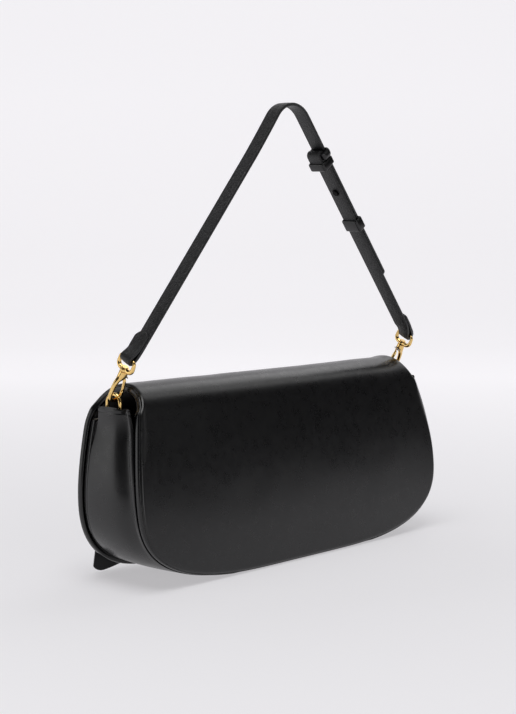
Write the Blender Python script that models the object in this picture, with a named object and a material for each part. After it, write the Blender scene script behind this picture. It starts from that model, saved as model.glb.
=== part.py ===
"""Flap shoulder bag in smooth leather, with a short adjustable strap on two trigger hooks.

The bag stands on its flat bottom. Its front, with the flap and the tie, faces -Y, its back
faces +Y, and +X is on the right of someone who looks at the front. Lengths are in metres.
"""
import math

import bmesh
import bpy
from mathutils import Matrix, Vector

# Overall shape of the bag
BODY_WIDTH = 0.3206          # widest, across the lower third
TOP_HEIGHT = 0.1373
WIDEST_HEIGHT = 0.0615      # height at which the bag is widest
SHOULDER_DROP = 0.0163      # the sides end and the top roll starts this far below the top
SHOULDER_INSET = 0.0097     # each side has drawn in by this much there
TOP_INSET = 0.0172          # and by this much along the top line of the roll
SIDE_CURVE = 1.6            # how the sides draw in towards the shoulders
ROLL_CURVE = 0.66           # how the roll's ends draw in
CORNER_REACH = 0.130        # the rounded corners start this far in from the sides
CORNER_POWER = 2.88
FLAP_CORNER_REACH = 0.070
FLAP_CORNER_POWER = 2.55
SHOULDER_HEIGHT = TOP_HEIGHT - SHOULDER_DROP
SHOULDER_WIDTH = BODY_WIDTH - 2 * SHOULDER_INSET
TOP_WIDTH = BODY_WIDTH - 2 * TOP_INSET
CORNER_START = BODY_WIDTH / 2 - CORNER_REACH
FLAP_CORNER_START = BODY_WIDTH / 2 - FLAP_CORNER_REACH

# Side view of the back, the roll and the flap
BACK_FOOT_Y = 0.0353
BACK_LEAN = 0.0150          # how far the back leans in before it turns over
BACK_TURN_DROP = 0.0193     # it turns over this far below the top
FLAP_FOOT = 0.0027
WALL_FOOT = 0.0003          # the walls' edges stop just above the ground
FRONT_WALL_Y = -0.0275      # outer face of the front wall, under the flap
FRONT_WALL_DROP = 0.0253    # the front wall ends this far below the top
FLAP_STANDOFF = 0.0023      # from the front wall to the flap's inner face
BACK_LEG_TOP = TOP_HEIGHT - BACK_TURN_DROP
FRONT_WALL_TOP = TOP_HEIGHT - FRONT_WALL_DROP

# Layers of the shell, counted inwards from the outer face
GAP = 0.0003                # running gap between touching pieces
LEATHER = 0.0014
SHELL_THICKNESS = 0.0062
LINING = 0.0011
RIM_WIDTH = 0.0014
EDGE_SETBACK = 0.0005       # the face leather ends this far inside the rim
FRONT_THICKNESS = 0.0042
BOARD_STOP = 0.020          # the boards stop this far from the fold, where only leather turns

# Gusset, and the stiffener that lies in the bottom
GUSSET_DROP = 0.0158        # the gusset ends this far below the top
GUSSET_SETBACK = 0.0008
GUSSET_FLARE = 0.0044       # the top of the gusset stands out by this much
FLARE_HEIGHT = 0.0215       # over its last stretch of this height
BASE_LENGTH = 0.150
BASE_THICKNESS = 0.0016
GUSSET_TOP = TOP_HEIGHT - GUSSET_DROP
FLARE_START = GUSSET_TOP - FLARE_HEIGHT

# D-rings and their tabs
RING_Y = -0.008
RING_RISE = 0.0023          # from the gusset's top to the centre of the rings' round part
RING_RADIUS = 0.0065        # to the middle of the wire
RING_WIRE = 0.0026
RING_CORNER = 0.0018
RING_BAR_DROP = 0.0065      # from the gusset's top down to the rings' bars
TAB_WIDTH = 0.0100
TAB_LENGTH = 0.024
TAB_LEATHER = 0.0008
STITCH_RADIUS = 0.0003
STITCH_ROWS = 0.0050        # between the two rows
STITCH_DROP = 0.0185        # from the rings' bars down to the stitches' foot
STITCH_HEIGHT = 0.0105
STITCH_CORNER = 0.0010
RING_CENTRE_Z = GUSSET_TOP + RING_RISE      # the strap swings about it
RING_BAR_Z = GUSSET_TOP - RING_BAR_DROP
STITCH_FOOT = RING_BAR_Z - STITCH_DROP

# Trigger hooks, measured from the ring's centre outwards along the hook
HOOK_LEAN = 27.0            # degrees, leaning back
HOOK_SHIFT = 0.0012         # the hooks hang this far outside the rings' planes
HOOK_WIRE = 0.0029
HOOK_HALF_WIDTH = 0.0048    # to the middle of the wire
BEND_CENTRE = 0.0078
NOSE_END = 0.0091
ARM_STRAIGHT = 0.0145
HEAD_START = 0.0203
HEAD_END = 0.0243
HEAD_HALF_WIDTH = 0.0036
HEAD_THICKNESS = 0.0058
SLOT_WIDTH = 0.0036
COLLAR_END = 0.0259
COLLAR_RADIUS = 0.0029
STEM_RADIUS = 0.0013
STEM_HEAD_RADIUS = 0.0022
STEM_HEAD = 0.0006
BOSS_LENGTH = 0.0024
BOSS_RADIUS = 0.0032
EYE_WIRE = 0.0020
EYE_HALF_WIDTH = 0.0073     # along the strap's width, to the middle of the wire
EYE_BAR = 0.0360
EYE_CORNER = 0.0015
PIVOT_SIDE = 0.0027         # gate pivot, towards the bag from the hook's middle
PIVOT_AT = 0.0218
PIN_RADIUS = 0.00045
PIN_CLEARANCE = 0.00025
GATE_WIRE = 0.0022
GATE_GAP = 0.0005
HUB_RADIUS = 0.0013
HUB_WIDTH = 0.0012
NECK_DROP = 0.0011          # from the hub's rim down to where the gate's wire starts
NECK_WIDTH = 0.0016
NECK_INSET = 0.00015        # the neck is this much thinner than the hub on each face
SPRING_WIRE = 0.00030
SPRING_RADIUS = 0.00095
SPRING_TURNS = 2

# Strap
STRAP_WIDTH = 0.0120
STRAP_THICKNESS = 0.0024
END_WIDTH = 0.0100          # the strap draws in to this at the eyes
END_FLARE = 0.11            # half width that it gains per length above them
STRAP_HALF_ANGLE = 39.0     # degrees, between each leg and the vertical
STRAP_LEAN = 1.4            # degrees, leaning back above the hooks
LEAN_CHANGE = 0.008         # length over which the strap turns from the hooks' lean to its own
APEX_RADIUS = 0.0195
TURN_BACK = 0.021           # length of the ends that are turned back round the eyes
CLOSE_UP = 0.008            # the two layers close up over this length
TIP_STEPS = (0.0, 0.0008, 0.0020, 0.0036, 0.0060)   # places along a rounded tip
TIP_END = 0.0006            # half width that a rounded tip ends with
STRAIGHT_STEP = 0.010
CURVED_STEP = 0.003
CROSS_FROM = 0.060          # the long strap starts to pass outside the short one, before the top
CROSS_TO = 0.026            # and lies outside it from here, past the top
FRAME_FROM_TOP = 0.050      # along the strap, from the top of the loop to the frame
FRAME_WIRE = 0.0020
FRAME_CORNER = 0.0016
FOLD_LENGTH = 0.012         # the short strap is folded back this far round the frame
FIXED_KEEPER_FROM_TOP = 0.0590
FIXED_KEEPER_LENGTH = 0.0050
KEEPER_FROM_TOP = 0.118
KEEPER_LENGTH = 0.0100
KEEPER_WALL = 0.0012
KEEPER_CORNER = 0.0009
STUD_FROM_TOP = 0.086
STUD_RADIUS = 0.0030
STUD_SHAFT = 0.0011
STUD_FLANGE = 0.0010
HOLE_PITCH = 0.018
TAIL_FROM_TOP = 0.171       # tip of the long strap

# Magnetic closure and the tie on the flap
MAGNET_RADIUS = 0.0090
MAGNET_FACE = 0.0007
MAGNET_HEIGHT = 0.060
MAGNET_BOSS = 0.0030
WASHER_RADIUS = 0.0105
WASHER_THICKNESS = 0.0008
KNOT_WIDTH = 0.026
KNOT_WAIST = 0.78           # share of its width that the knot keeps at its middle
KNOT_HEIGHT = 0.046
KNOT_DEPTH = 0.0095
KNOT_RIM = 0.0040           # its depth at its top and its bottom
KNOT_Z = 0.066
TIE_LEATHER = 0.0016
TIE_AT_KNOT = 0.034
TIE_END_INSET = 0.021       # the tie's ends stop this far in from the bag's sides
TIE_END_HEIGHT = 0.042
TIE_END_SLANT = 0.004
TIE_FOOT = 0.0010
TIE_DROP = 0.95             # share of an end's length over which its lower edge comes down
TIE_REACH = 0.0070          # how far the tie's ends stand out from the flap
TIE_BOW = 0.0012
TIE_TILT = 0.0025           # the ends' upper corners lean towards the flap by this much
TIE_END_X = BODY_WIDTH / 2 - TIE_END_INSET

SIDES = {"right": 1, "left": -1}


def clear_scene():
    """Remove every object that the scene starts with."""
    for item in list(bpy.data.objects):
        bpy.data.objects.remove(item, do_unlink=True)


def make_material(name, colour, roughness, metallic=0.0):
    """Return a Principled material."""
    material = bpy.data.materials.new(name)
    material.use_nodes = True
    shader = material.node_tree.nodes["Principled BSDF"]
    shader.inputs["Base Color"].default_value = (*colour, 1.0)
    shader.inputs["Roughness"].default_value = roughness
    shader.inputs["Metallic"].default_value = metallic
    return material


FINISHES = {
    "leather": ((0.012, 0.012, 0.013), 0.38, 0.0),
    "strap": ((0.016, 0.016, 0.017), 0.50, 0.0),
    "board": ((0.30, 0.26, 0.20), 0.90, 0.0),
    "lining": ((0.030, 0.028, 0.027), 0.85, 0.0),
    "thread": ((0.020, 0.020, 0.020), 0.70, 0.0),
    "gold": ((0.83, 0.58, 0.22), 0.18, 1.0),
    "steel": ((0.55, 0.55, 0.54), 0.30, 1.0),
}


def add_object(name, mesh, finish):
    """Put a mesh in the scene as a named object with its own material."""
    item = bpy.data.objects.new(name, mesh)
    bpy.context.collection.objects.link(item)
    item.data.materials.append(make_material(name + "_finish", *FINISHES[finish]))
    return item


def loft(name, sections, finish, closed=False, smooth=False):
    """Skin a row of equal sections, each a ring of points, and cap the two ends."""
    work = bmesh.new()
    rings = [[work.verts.new(point) for point in section] for section in sections]
    count = len(rings[0])
    pairs = list(zip(rings, rings[1:]))
    if closed:
        pairs.append((rings[-1], rings[0]))
    for first, second in pairs:
        for index in range(count):
            following = (index + 1) % count
            work.faces.new((first[index], first[following], second[following], second[index]))
    if not closed:
        work.faces.new(list(reversed(rings[0])))
        work.faces.new(rings[-1])
    bmesh.ops.recalc_face_normals(work, faces=work.faces)
    mesh = bpy.data.meshes.new(name)
    work.to_mesh(mesh)
    work.free()
    if smooth:
        mesh.shade_smooth()
        mesh.set_sharp_from_angle(angle=math.radians(40))
    return add_object(name, mesh, finish)


def combine(target, tool, operation):
    """Join a tool to a target or cut it away, apply the result and remove the tool."""
    step = target.modifiers.new(operation.lower(), "BOOLEAN")
    step.operation = operation
    step.solver = "EXACT"
    step.object = tool
    graph = bpy.context.evaluated_depsgraph_get()
    mesh = bpy.data.meshes.new_from_object(target.evaluated_get(graph))
    target.modifiers.clear()
    target.data = mesh
    bpy.data.objects.remove(tool, do_unlink=True)


def rounded_path(points, radii, steps=6):
    """Return a 2D path through the points with each inner corner turned into an arc."""
    path = [Vector(points[0])]
    for before, corner, after, radius in zip(points, points[1:], points[2:], radii):
        corner = Vector(corner)
        arrive = (Vector(before) - corner).normalized()
        leave = (Vector(after) - corner).normalized()
        half_angle = arrive.angle(leave) / 2
        if half_angle > math.radians(89):
            path.append(corner)
            continue
        reach = radius / math.tan(half_angle)
        centre = corner + (arrive + leave).normalized() * radius / math.sin(half_angle)
        start, end = corner + arrive * reach - centre, corner + leave * reach - centre
        for step in range(steps + 1):
            path.append(centre + start.slerp(end, step / steps) * radius)
    path.append(Vector(points[-1]))
    return path


def path_normals(path):
    """Return the left-hand normal at each point of a 2D path."""
    normals = []
    for index, _ in enumerate(path):
        before, after = path[max(index - 1, 0)], path[min(index + 1, len(path) - 1)]
        along = (after - before).normalized()
        normals.append(Vector((-along.y, along.x)))
    return normals


def path_lengths(path):
    """Return the distance along a path at each of its points."""
    lengths = [0.0]
    for first, second in zip(path, path[1:]):
        lengths.append(lengths[-1] + (second - first).length)
    return lengths


def half_width(height, foot, corner_start, power):
    """Return the bag's half width at a height, for an outline that starts at its foot."""
    widest, shoulder, top = BODY_WIDTH / 2, SHOULDER_WIDTH / 2, TOP_WIDTH / 2
    if height >= SHOULDER_HEIGHT:
        rise = min((height - SHOULDER_HEIGHT) / (TOP_HEIGHT - SHOULDER_HEIGHT), 1.0)
        return shoulder - (shoulder - top) * rise ** ROLL_CURVE
    if height >= WIDEST_HEIGHT:
        rise = (height - WIDEST_HEIGHT) / (SHOULDER_HEIGHT - WIDEST_HEIGHT)
        return widest - (widest - shoulder) * rise ** SIDE_CURVE
    drop = min((WIDEST_HEIGHT - height) / (WIDEST_HEIGHT - foot), 1.0)
    return corner_start + (widest - corner_start) * (1 - drop ** power) ** (1 / power)


def corner_heights(foot, power, count=14):
    """Return heights from the foot to the widest place, closest together near the foot."""
    angles = [math.pi / 2 * (1 - index / count) for index in range(count)]
    reach = WIDEST_HEIGHT - foot
    return [WIDEST_HEIGHT - reach * math.sin(angle) ** (2 / power) for angle in angles]


def back_y(height):
    """Return the back's outer face at a height on its leaning leg."""
    return BACK_FOOT_Y - BACK_LEAN * (height / BACK_LEG_TOP) ** 2


def roll_radius():
    """Return the radius of the back half of the roll, which meets the leg without a corner."""
    slope = math.atan(2 * BACK_LEAN / BACK_LEG_TOP)
    return (TOP_HEIGHT - BACK_LEG_TOP) / (1 - math.sin(slope)), slope


def roll_top_y():
    """Return where the top line of the roll lies."""
    radius, slope = roll_radius()
    return back_y(BACK_LEG_TOP) - radius * math.cos(slope)


FLAP_FACE_Y = FRONT_WALL_Y - FLAP_STANDOFF - SHELL_THICKNESS
FRONT_RADIUS = roll_top_y() - FLAP_FACE_Y


class Wall:
    """A wall of the bag: a side view, an outline across it and layers through it."""

    def __init__(self, profile, outline, inward):
        """Keep the side view from the foot up, its half widths and which side is inside."""
        self.profile = profile
        self.lengths = path_lengths(profile)
        self.outline = outline
        self.inward = inward
        self.normals = [normal * inward for normal in path_normals(profile)]
        if profile[-1].y > BACK_LEG_TOP:
            self.normals[-1] = Vector((0.0, -1.0))

    def place(self, x, along, depth):
        """Return the point at a distance up the wall and a depth into it."""
        last = len(self.profile) - 2
        index = next((i for i in range(last + 1) if self.lengths[i + 1] >= along), last)
        share = (along - self.lengths[index]) / (self.lengths[index + 1] - self.lengths[index])
        spot = self.profile[index].lerp(self.profile[index + 1], share)
        normal = self.normals[index].lerp(self.normals[index + 1], share).normalized()
        return Vector((x, spot.x + normal.x * depth, spot.y + normal.y * depth))

    def edge(self, inset):
        """Return the right-hand edge, from the foot up, moved inwards by an inset."""
        edge = [Vector((0.0, 0.0))]
        edge += [Vector((x, along)) for x, along in zip(self.outline, self.lengths)]
        normals = path_normals(edge)
        moved = [spot + normal * inset for spot, normal in zip(edge, normals)]
        moved[0].x = 0.0
        moved[-1].y = edge[-1].y
        return moved[1:]

    def layer(self, name, finish, inset, outer, inner, trim=0.0):
        """Make a sheet that fills the wall between two depths."""
        top = self.lengths[-1] - trim
        edge = self.edge(inset)
        rows = [spot for spot in edge if spot.y < top - 1e-6]
        last, following = rows[-1], edge[len(rows)]
        rows.append(last.lerp(following, (top - last.y) / (following.y - last.y)))
        sections = []
        for x, along in rows:
            sections.append([self.place(-x, along, outer), self.place(x, along, outer),
                             self.place(x, along, inner), self.place(-x, along, inner)])
        return loft(name, sections, finish)

    def rim(self, name, finish, inset, width, outer, inner):
        """Make the band that runs round the wall's edge, from one top corner to the other."""
        sections = []
        outside, inside = self.edge(inset), self.edge(inset + width)
        for side in (-1, 1):
            rows = list(zip(outside, inside))
            if side < 0:
                rows.reverse()
            for far, near in rows:
                sections.append([self.place(side * far.x, far.y, outer),
                                 self.place(side * far.x, far.y, inner),
                                 self.place(side * near.x, near.y, inner),
                                 self.place(side * near.x, near.y, outer)])
        return loft(name, sections, finish)


def back_wall():
    """Describe the back wall, which leans in and turns over to the top line of the roll."""
    heights = corner_heights(WALL_FOOT, CORNER_POWER)
    count = 8
    heights += [WIDEST_HEIGHT + (BACK_LEG_TOP - WIDEST_HEIGHT) * index / count
                for index in range(count)]
    profile = [Vector((back_y(height), height)) for height in heights]
    radius, slope = roll_radius()
    centre = Vector((roll_top_y(), TOP_HEIGHT - radius))
    turns = 12
    for index in range(turns + 1):
        angle = slope + (math.pi / 2 - slope) * index / turns
        profile.append(centre + Vector((math.cos(angle), math.sin(angle))) * radius)
    outline = [half_width(spot.y, WALL_FOOT, CORNER_START, CORNER_POWER) for spot in profile]
    return Wall(profile, outline, 1)


def flap_wall():
    """Describe the flap, from its foot up the front and over to the top line of the roll."""
    heights = corner_heights(FLAP_FOOT, FLAP_CORNER_POWER)
    shoulder = TOP_HEIGHT - FRONT_RADIUS
    count = 5
    heights += [WIDEST_HEIGHT + (shoulder - WIDEST_HEIGHT) * index / count
                for index in range(count)]
    profile = [Vector((FLAP_FACE_Y, height)) for height in heights]
    turns = 12
    for index in range(turns + 1):
        angle = math.pi / 2 * index / turns
        profile.append(Vector((roll_top_y() - FRONT_RADIUS * math.cos(angle),
                               shoulder + FRONT_RADIUS * math.sin(angle))))
    outline = [half_width(spot.y, FLAP_FOOT, FLAP_CORNER_START, FLAP_CORNER_POWER)
               for spot in profile]
    profile[-1].x -= GAP
    return Wall(profile, outline, -1)


def front_wall():
    """Describe the flat front wall, which the flap covers."""
    heights = corner_heights(WALL_FOOT, CORNER_POWER)
    count = 6
    heights += [WIDEST_HEIGHT + (FRONT_WALL_TOP - WIDEST_HEIGHT) * index / count
                for index in range(count + 1)]
    profile = [Vector((FRONT_WALL_Y, height)) for height in heights]
    outline = [half_width(height, WALL_FOOT, CORNER_START, CORNER_POWER) for height in heights]
    return Wall(profile, outline, -1)


def gusset_edge(inset):
    """Return the gusset's edge from the middle of the bottom up, moved inwards by an inset."""
    heights = corner_heights(0.0, CORNER_POWER, 16)
    count = 10
    heights += [WIDEST_HEIGHT + (GUSSET_TOP - WIDEST_HEIGHT) * index / count
                for index in range(count + 1)]
    edge = [Vector((0.0, 0.0))]
    for height in heights:
        flare = max(height - FLARE_START, 0.0) / (GUSSET_TOP - FLARE_START)
        side = half_width(height, 0.0, CORNER_START, CORNER_POWER) + GUSSET_FLARE * flare ** 2
        edge.append(Vector((side, height)))
    setback = [min(GUSSET_SETBACK, spot.y) for spot in edge]
    normals = path_normals(edge)
    moved = [spot + normal * (inset + back)
             for spot, normal, back in zip(edge, normals, setback)]
    moved[0].x = 0.0
    moved[-1].y = edge[-1].y
    return moved[1:]


def inner_back_y(height):
    """Return the plane where the gusset meets the back wall's inner face."""
    depth = SHELL_THICKNESS + GAP
    slope = math.atan(2 * BACK_LEAN * min(height, BACK_LEG_TOP) / BACK_LEG_TOP ** 2)
    return back_y(min(height, BACK_LEG_TOP)) - depth / math.cos(slope)


GUSSET_FRONT_Y = FRONT_WALL_Y + FRONT_THICKNESS + GAP


def make_strip(name, finish, inset, thickness, high=GUSSET_TOP):
    """Make a strip between the front and back walls that follows the gusset's edge."""
    sections = []
    outside, inside = gusset_edge(inset), gusset_edge(inset + thickness)
    pairs = [(far, near) for far, near in zip(outside, inside) if far.y <= high + 1e-6]
    for side in (-1, 1):
        rows = list(reversed(pairs)) if side < 0 else pairs
        for far, near in rows:
            sections.append([Vector((side * far.x, GUSSET_FRONT_Y, far.y)),
                             Vector((side * far.x, inner_back_y(far.y), far.y)),
                             Vector((side * near.x, inner_back_y(near.y), near.y)),
                             Vector((side * near.x, GUSSET_FRONT_Y, near.y))])
    return loft(name, sections, finish)


def make_disc(name, finish, centre, axis, radius, length, sides=24, hole=0.0):
    """Make a round disc or pin that starts at a centre and runs along an axis."""
    axis = Vector(axis).normalized()
    across = axis.orthogonal().normalized()
    second = axis.cross(across)

    def ring(size, along):
        return [Vector(centre) + axis * along
                + (across * math.cos(turn) + second * math.sin(turn)) * size
                for turn in (2 * math.pi * index / sides for index in range(sides))]

    if hole:
        rings = [ring(radius, 0.0), ring(radius, length), ring(hole, length), ring(hole, 0.0)]
        return loft(name, rings, finish, closed=True, smooth=True)
    return loft(name, [ring(radius, 0.0), ring(radius, length)], finish, smooth=True)


def make_tube(name, finish, points, normal, radius, sides=10, closed=False):
    """Sweep a round section along a flat path that lies square to a normal."""
    normal = Vector(normal).normalized()
    sections = []
    last = len(points) - 1
    for index, point in enumerate(points):
        before = points[index - 1] if index or closed else point
        after = points[(index + 1) % len(points)] if index < last or closed else point
        along = (Vector(after) - Vector(before)).normalized()
        across = along.cross(normal).normalized()
        sections.append([Vector(point) + (across * math.cos(turn) + normal * math.sin(turn))
                         * radius for turn in (2 * math.pi * i / sides for i in range(sides))])
    return loft(name, sections, finish, closed=closed, smooth=True)


def make_box(name, finish, low, high):
    """Make a box between two corners."""
    (x0, y0, z0), (x1, y1, z1) = low, high
    sections = [[(x, y0, z0), (x, y1, z0), (x, y1, z1), (x, y0, z1)] for x in (x0, x1)]
    return loft(name, [[Vector(point) for point in ring] for ring in sections], finish)


def make_shell():
    """Make the back, the flap and the front wall in their layers."""
    back, flap, front = back_wall(), flap_wall(), front_wall()
    core_inset = RIM_WIDTH + GAP
    core_start = LEATHER + GAP
    lining_start = SHELL_THICKNESS - LINING
    for wall, prefix in ((back, "back"), (flap, "flap")):
        wall.layer(f"{prefix}_panel", "leather", EDGE_SETBACK, 0.0, LEATHER)
        wall.rim(f"{prefix}_edge_band", "leather", 0.0, RIM_WIDTH, core_start, SHELL_THICKNESS)
        wall.layer(f"{prefix}_board", "board", core_inset, core_start, lining_start - GAP,
                   BOARD_STOP)
        wall.layer(f"{prefix}_lining", "lining", core_inset, lining_start, SHELL_THICKNESS)
    front_lining = FRONT_THICKNESS - LINING
    front.layer("front_panel", "leather", EDGE_SETBACK, 0.0, LEATHER)
    front.rim("front_edge_band", "leather", 0.0, RIM_WIDTH, core_start, FRONT_THICKNESS)
    front.layer("front_board", "board", core_inset, core_start, front_lining - GAP)
    front.layer("front_lining", "lining", core_inset, front_lining, FRONT_THICKNESS)


def make_gusset():
    """Make the gusset, its lining and the stiffener in the bottom."""
    make_strip("gusset", "leather", 0.0, LEATHER)
    below_tabs = RING_BAR_Z - TAB_LENGTH - 2 * GAP
    make_strip("gusset_lining", "lining", LEATHER + GAP, LINING, high=below_tabs)
    floor = gusset_floor(BASE_LENGTH / 2, LEATHER + GAP + LINING + GAP)
    low_y = GUSSET_FRONT_Y + GAP
    high_y = inner_back_y(floor) - 2 * GAP
    make_box("base_board", "board", (-BASE_LENGTH / 2, low_y, floor),
             (BASE_LENGTH / 2, high_y, floor + BASE_THICKNESS))


def gusset_floor(x, inset):
    """Return the height of the gusset's bottom at a distance from the middle."""
    edge = gusset_edge(inset)
    beyond = next(i for i, spot in enumerate(edge) if spot.x >= x)
    first, second = edge[beyond - 1], edge[beyond]
    share = (x - first.x) / (second.x - first.x)
    return first.y + (second.y - first.y) * share


def gusset_side(height, inset):
    """Return the gusset's distance from the middle at a height, moved inwards by an inset."""
    edge = gusset_edge(inset)
    above = next((i for i, spot in enumerate(edge) if spot.y >= height - 1e-9), len(edge) - 1)
    first, second = edge[above - 1], edge[above]
    share = (height - first.y) / (second.y - first.y)
    return first.x + (second.x - first.x) * share


def ring_plane():
    """Return the distance of the rings' planes from the middle of the bag."""
    inside = gusset_side(RING_BAR_Z, LEATHER + GAP)
    return inside - TAB_LEATHER - GAP - RING_WIRE / 2


def make_ring(side_name, side):
    """Make one D-ring, round at its top and straight along the bar in the tab."""
    plane = side * ring_plane()
    path = rounded_path([(RING_Y - RING_RADIUS, RING_CENTRE_Z),
                         (RING_Y - RING_RADIUS, RING_BAR_Z),
                         (RING_Y + RING_RADIUS, RING_BAR_Z),
                         (RING_Y + RING_RADIUS, RING_CENTRE_Z)], [RING_CORNER] * 2, 4)
    centre = Vector((RING_Y, RING_CENTRE_Z))
    for index in range(1, 16):
        turn = math.pi * index / 16
        path.append(centre + Vector((math.cos(turn), math.sin(turn))) * RING_RADIUS)
    points = [Vector((plane, spot.x, spot.y)) for spot in path]
    make_tube(f"d_ring_{side_name}", "gold", points, (1, 0, 0), RING_WIRE / 2, 10, True)


def make_tab(side_name, side):
    """Make one tab: leather folded round the ring's bar, both ends sewn inside the gusset."""
    plane = ring_plane()
    bend = RING_WIRE / 2 + GAP + TAB_LEATHER / 2
    count = 5
    path = []
    for index in range(count):
        height = RING_BAR_Z - TAB_LENGTH * (1 - index / count)
        side_x = gusset_side(height, LEATHER + GAP + TAB_LEATHER / 2)
        path.append(Vector((side_x, height)))
    for index in range(9):
        turn = math.pi * index / 8
        path.append(Vector((plane, RING_BAR_Z)) + Vector((math.cos(turn), math.sin(turn))) * bend)
    for index in range(1, count + 1):
        height = RING_BAR_Z - TAB_LENGTH * index / count
        side_x = gusset_side(height, LEATHER + 2 * GAP + TAB_LEATHER * 1.5)
        path.append(Vector((min(side_x, plane - bend + index * bend), height)))
    normals = path_normals(path)
    sections = []
    for spot, normal in zip(path, normals):
        row = []
        for across, depth in ((-1, -1), (1, -1), (1, 1), (-1, 1)):
            moved = spot + normal * depth * TAB_LEATHER / 2
            row.append(Vector((side * moved.x, RING_Y + across * TAB_WIDTH / 2, moved.y)))
        sections.append(row)
    loft(f"ring_tab_{side_name}", sections, "leather")


def make_stitching(side_name, side):
    """Make the thread that holds one tab: down one side, across and up the other."""
    half, low, high = STITCH_ROWS / 2, STITCH_FOOT, STITCH_FOOT + STITCH_HEIGHT
    path = rounded_path([(-half, high), (-half, (low + high) / 2), (-half, low), (half, low),
                         (half, (low + high) / 2), (half, high)], [STITCH_CORNER] * 4, 3)
    points = []
    for spot in path:
        out = gusset_side(spot.y, 0.0) + GAP / 2 + STITCH_RADIUS
        points.append(Vector((side * out, RING_Y + spot.x, spot.y)))
    make_tube(f"tab_stitching_{side_name}", "thread", points, (1, 0, 0), STITCH_RADIUS, 6)


class HookFrame:
    """Places points for one hook: across from the bag, along the strap's width, and outwards."""

    def __init__(self, side):
        """Keep the side and the hook's directions."""
        lean = math.radians(HOOK_LEAN)
        self.side = side
        self.out = Vector((0.0, math.sin(lean), math.cos(lean)))
        self.wide = Vector((0.0, math.cos(lean), -math.sin(lean)))
        middle = side * (ring_plane() + HOOK_SHIFT)
        self.origin = Vector((middle, RING_Y, RING_CENTRE_Z))

    def at(self, across, wide, out):
        """Return a point, where across is positive away from the bag."""
        return (self.origin + Vector((self.side * across, 0.0, 0.0))
                + self.wide * wide + self.out * out)

    def block(self, name, low, high):
        """Make a block between two corners."""
        sections = []
        for across in (low[0], high[0]):
            sections.append([self.at(across, low[1], low[2]), self.at(across, high[1], low[2]),
                             self.at(across, high[1], high[2]), self.at(across, low[1], high[2])])
        return loft(name, sections, "gold")


def make_hook(side_name, side):
    """Make one hook with its gate, gate pin and spring."""
    frame = HookFrame(side)
    half = HOOK_HALF_WIDTH
    path = [(-half, NOSE_END), (-half, BEND_CENTRE)]
    for index in range(1, 12):
        turn = math.pi * index / 12
        path.append((-half * math.cos(turn), BEND_CENTRE - half * math.sin(turn)))
    path += [(half, BEND_CENTRE), (half, ARM_STRAIGHT - 0.001), (half * 0.93, ARM_STRAIGHT + 0.001),
             (half * 0.53, HEAD_START + 0.0011)]
    points = [frame.at(across, 0.0, out) for across, out in path]
    hook = make_tube(f"hook_{side_name}", "gold", points, frame.wide, HOOK_WIRE / 2)
    wide, thick = HEAD_HALF_WIDTH, HEAD_THICKNESS / 2
    combine(hook, frame.block("head", (-wide, -thick, HEAD_START), (wide, thick, HEAD_END)),
            "UNION")
    combine(hook, make_disc("collar", "gold", frame.at(0, 0, HEAD_END - 0.0001), frame.out,
                            COLLAR_RADIUS, COLLAR_END - HEAD_END + 0.0001), "UNION")
    slot_top = PIVOT_AT + HUB_RADIUS + GAP
    slot = frame.block("slot", (-2 * wide, -SLOT_WIDTH / 2, HEAD_START - 0.002),
                       (0.25 * wide, SLOT_WIDTH / 2, slot_top))
    combine(hook, slot, "DIFFERENCE")
    combine(hook, make_disc("bore", "gold", frame.at(0, 0, HEAD_END + 0.0001), frame.out,
                            STEM_RADIUS + GAP, 0.004), "DIFFERENCE")
    hole = make_disc("hole", "gold", frame.at(-PIVOT_SIDE, -2 * thick, PIVOT_AT), frame.wide,
                     PIN_RADIUS + PIN_CLEARANCE, 4 * thick, 12)
    combine(hook, hole, "DIFFERENCE")
    make_disc(f"gate_pin_{side_name}", "steel", frame.at(-PIVOT_SIDE, -thick, PIVOT_AT),
              frame.wide, PIN_RADIUS, 2 * thick, 12)
    make_gate(side_name, frame)
    make_spring(side_name, frame)


def make_gate(side_name, frame):
    """Make one gate: a wire that closes the hook, on a hub that turns on its pin."""
    hub_low = -SLOT_WIDTH / 2 + GAP
    hub_high = hub_low + HUB_WIDTH
    gate = make_disc(f"gate_{side_name}", "gold", frame.at(-PIVOT_SIDE, hub_low, PIVOT_AT),
                     frame.wide, HUB_RADIUS, HUB_WIDTH, 16)
    drop = HUB_RADIUS + NECK_DROP
    lean = (HOOK_HALF_WIDTH - PIVOT_SIDE) / (PIVOT_AT - NOSE_END)
    neck_across = -PIVOT_SIDE - drop * lean
    neck_low = (neck_across - NECK_WIDTH / 2, hub_low + NECK_INSET, PIVOT_AT - drop - 0.0005)
    neck_high = (neck_across + NECK_WIDTH / 2, hub_high - NECK_INSET, PIVOT_AT - 0.0009)
    neck = frame.block("neck", neck_low, neck_high)
    combine(gate, neck, "UNION")
    wire = make_tube("wire", "gold", [frame.at(neck_across, 0.0, PIVOT_AT - drop),
                                      frame.at(-HOOK_HALF_WIDTH, 0.0, NOSE_END + 0.003),
                                      frame.at(-HOOK_HALF_WIDTH, 0.0, NOSE_END + GATE_GAP)],
                     frame.wide, GATE_WIRE / 2)
    combine(gate, wire, "UNION")
    hole = make_disc("hole", "gold", frame.at(-PIVOT_SIDE, -SLOT_WIDTH, PIVOT_AT), frame.wide,
                     PIN_RADIUS + PIN_CLEARANCE, 2 * SLOT_WIDTH, 12)
    combine(gate, hole, "DIFFERENCE")


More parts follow.
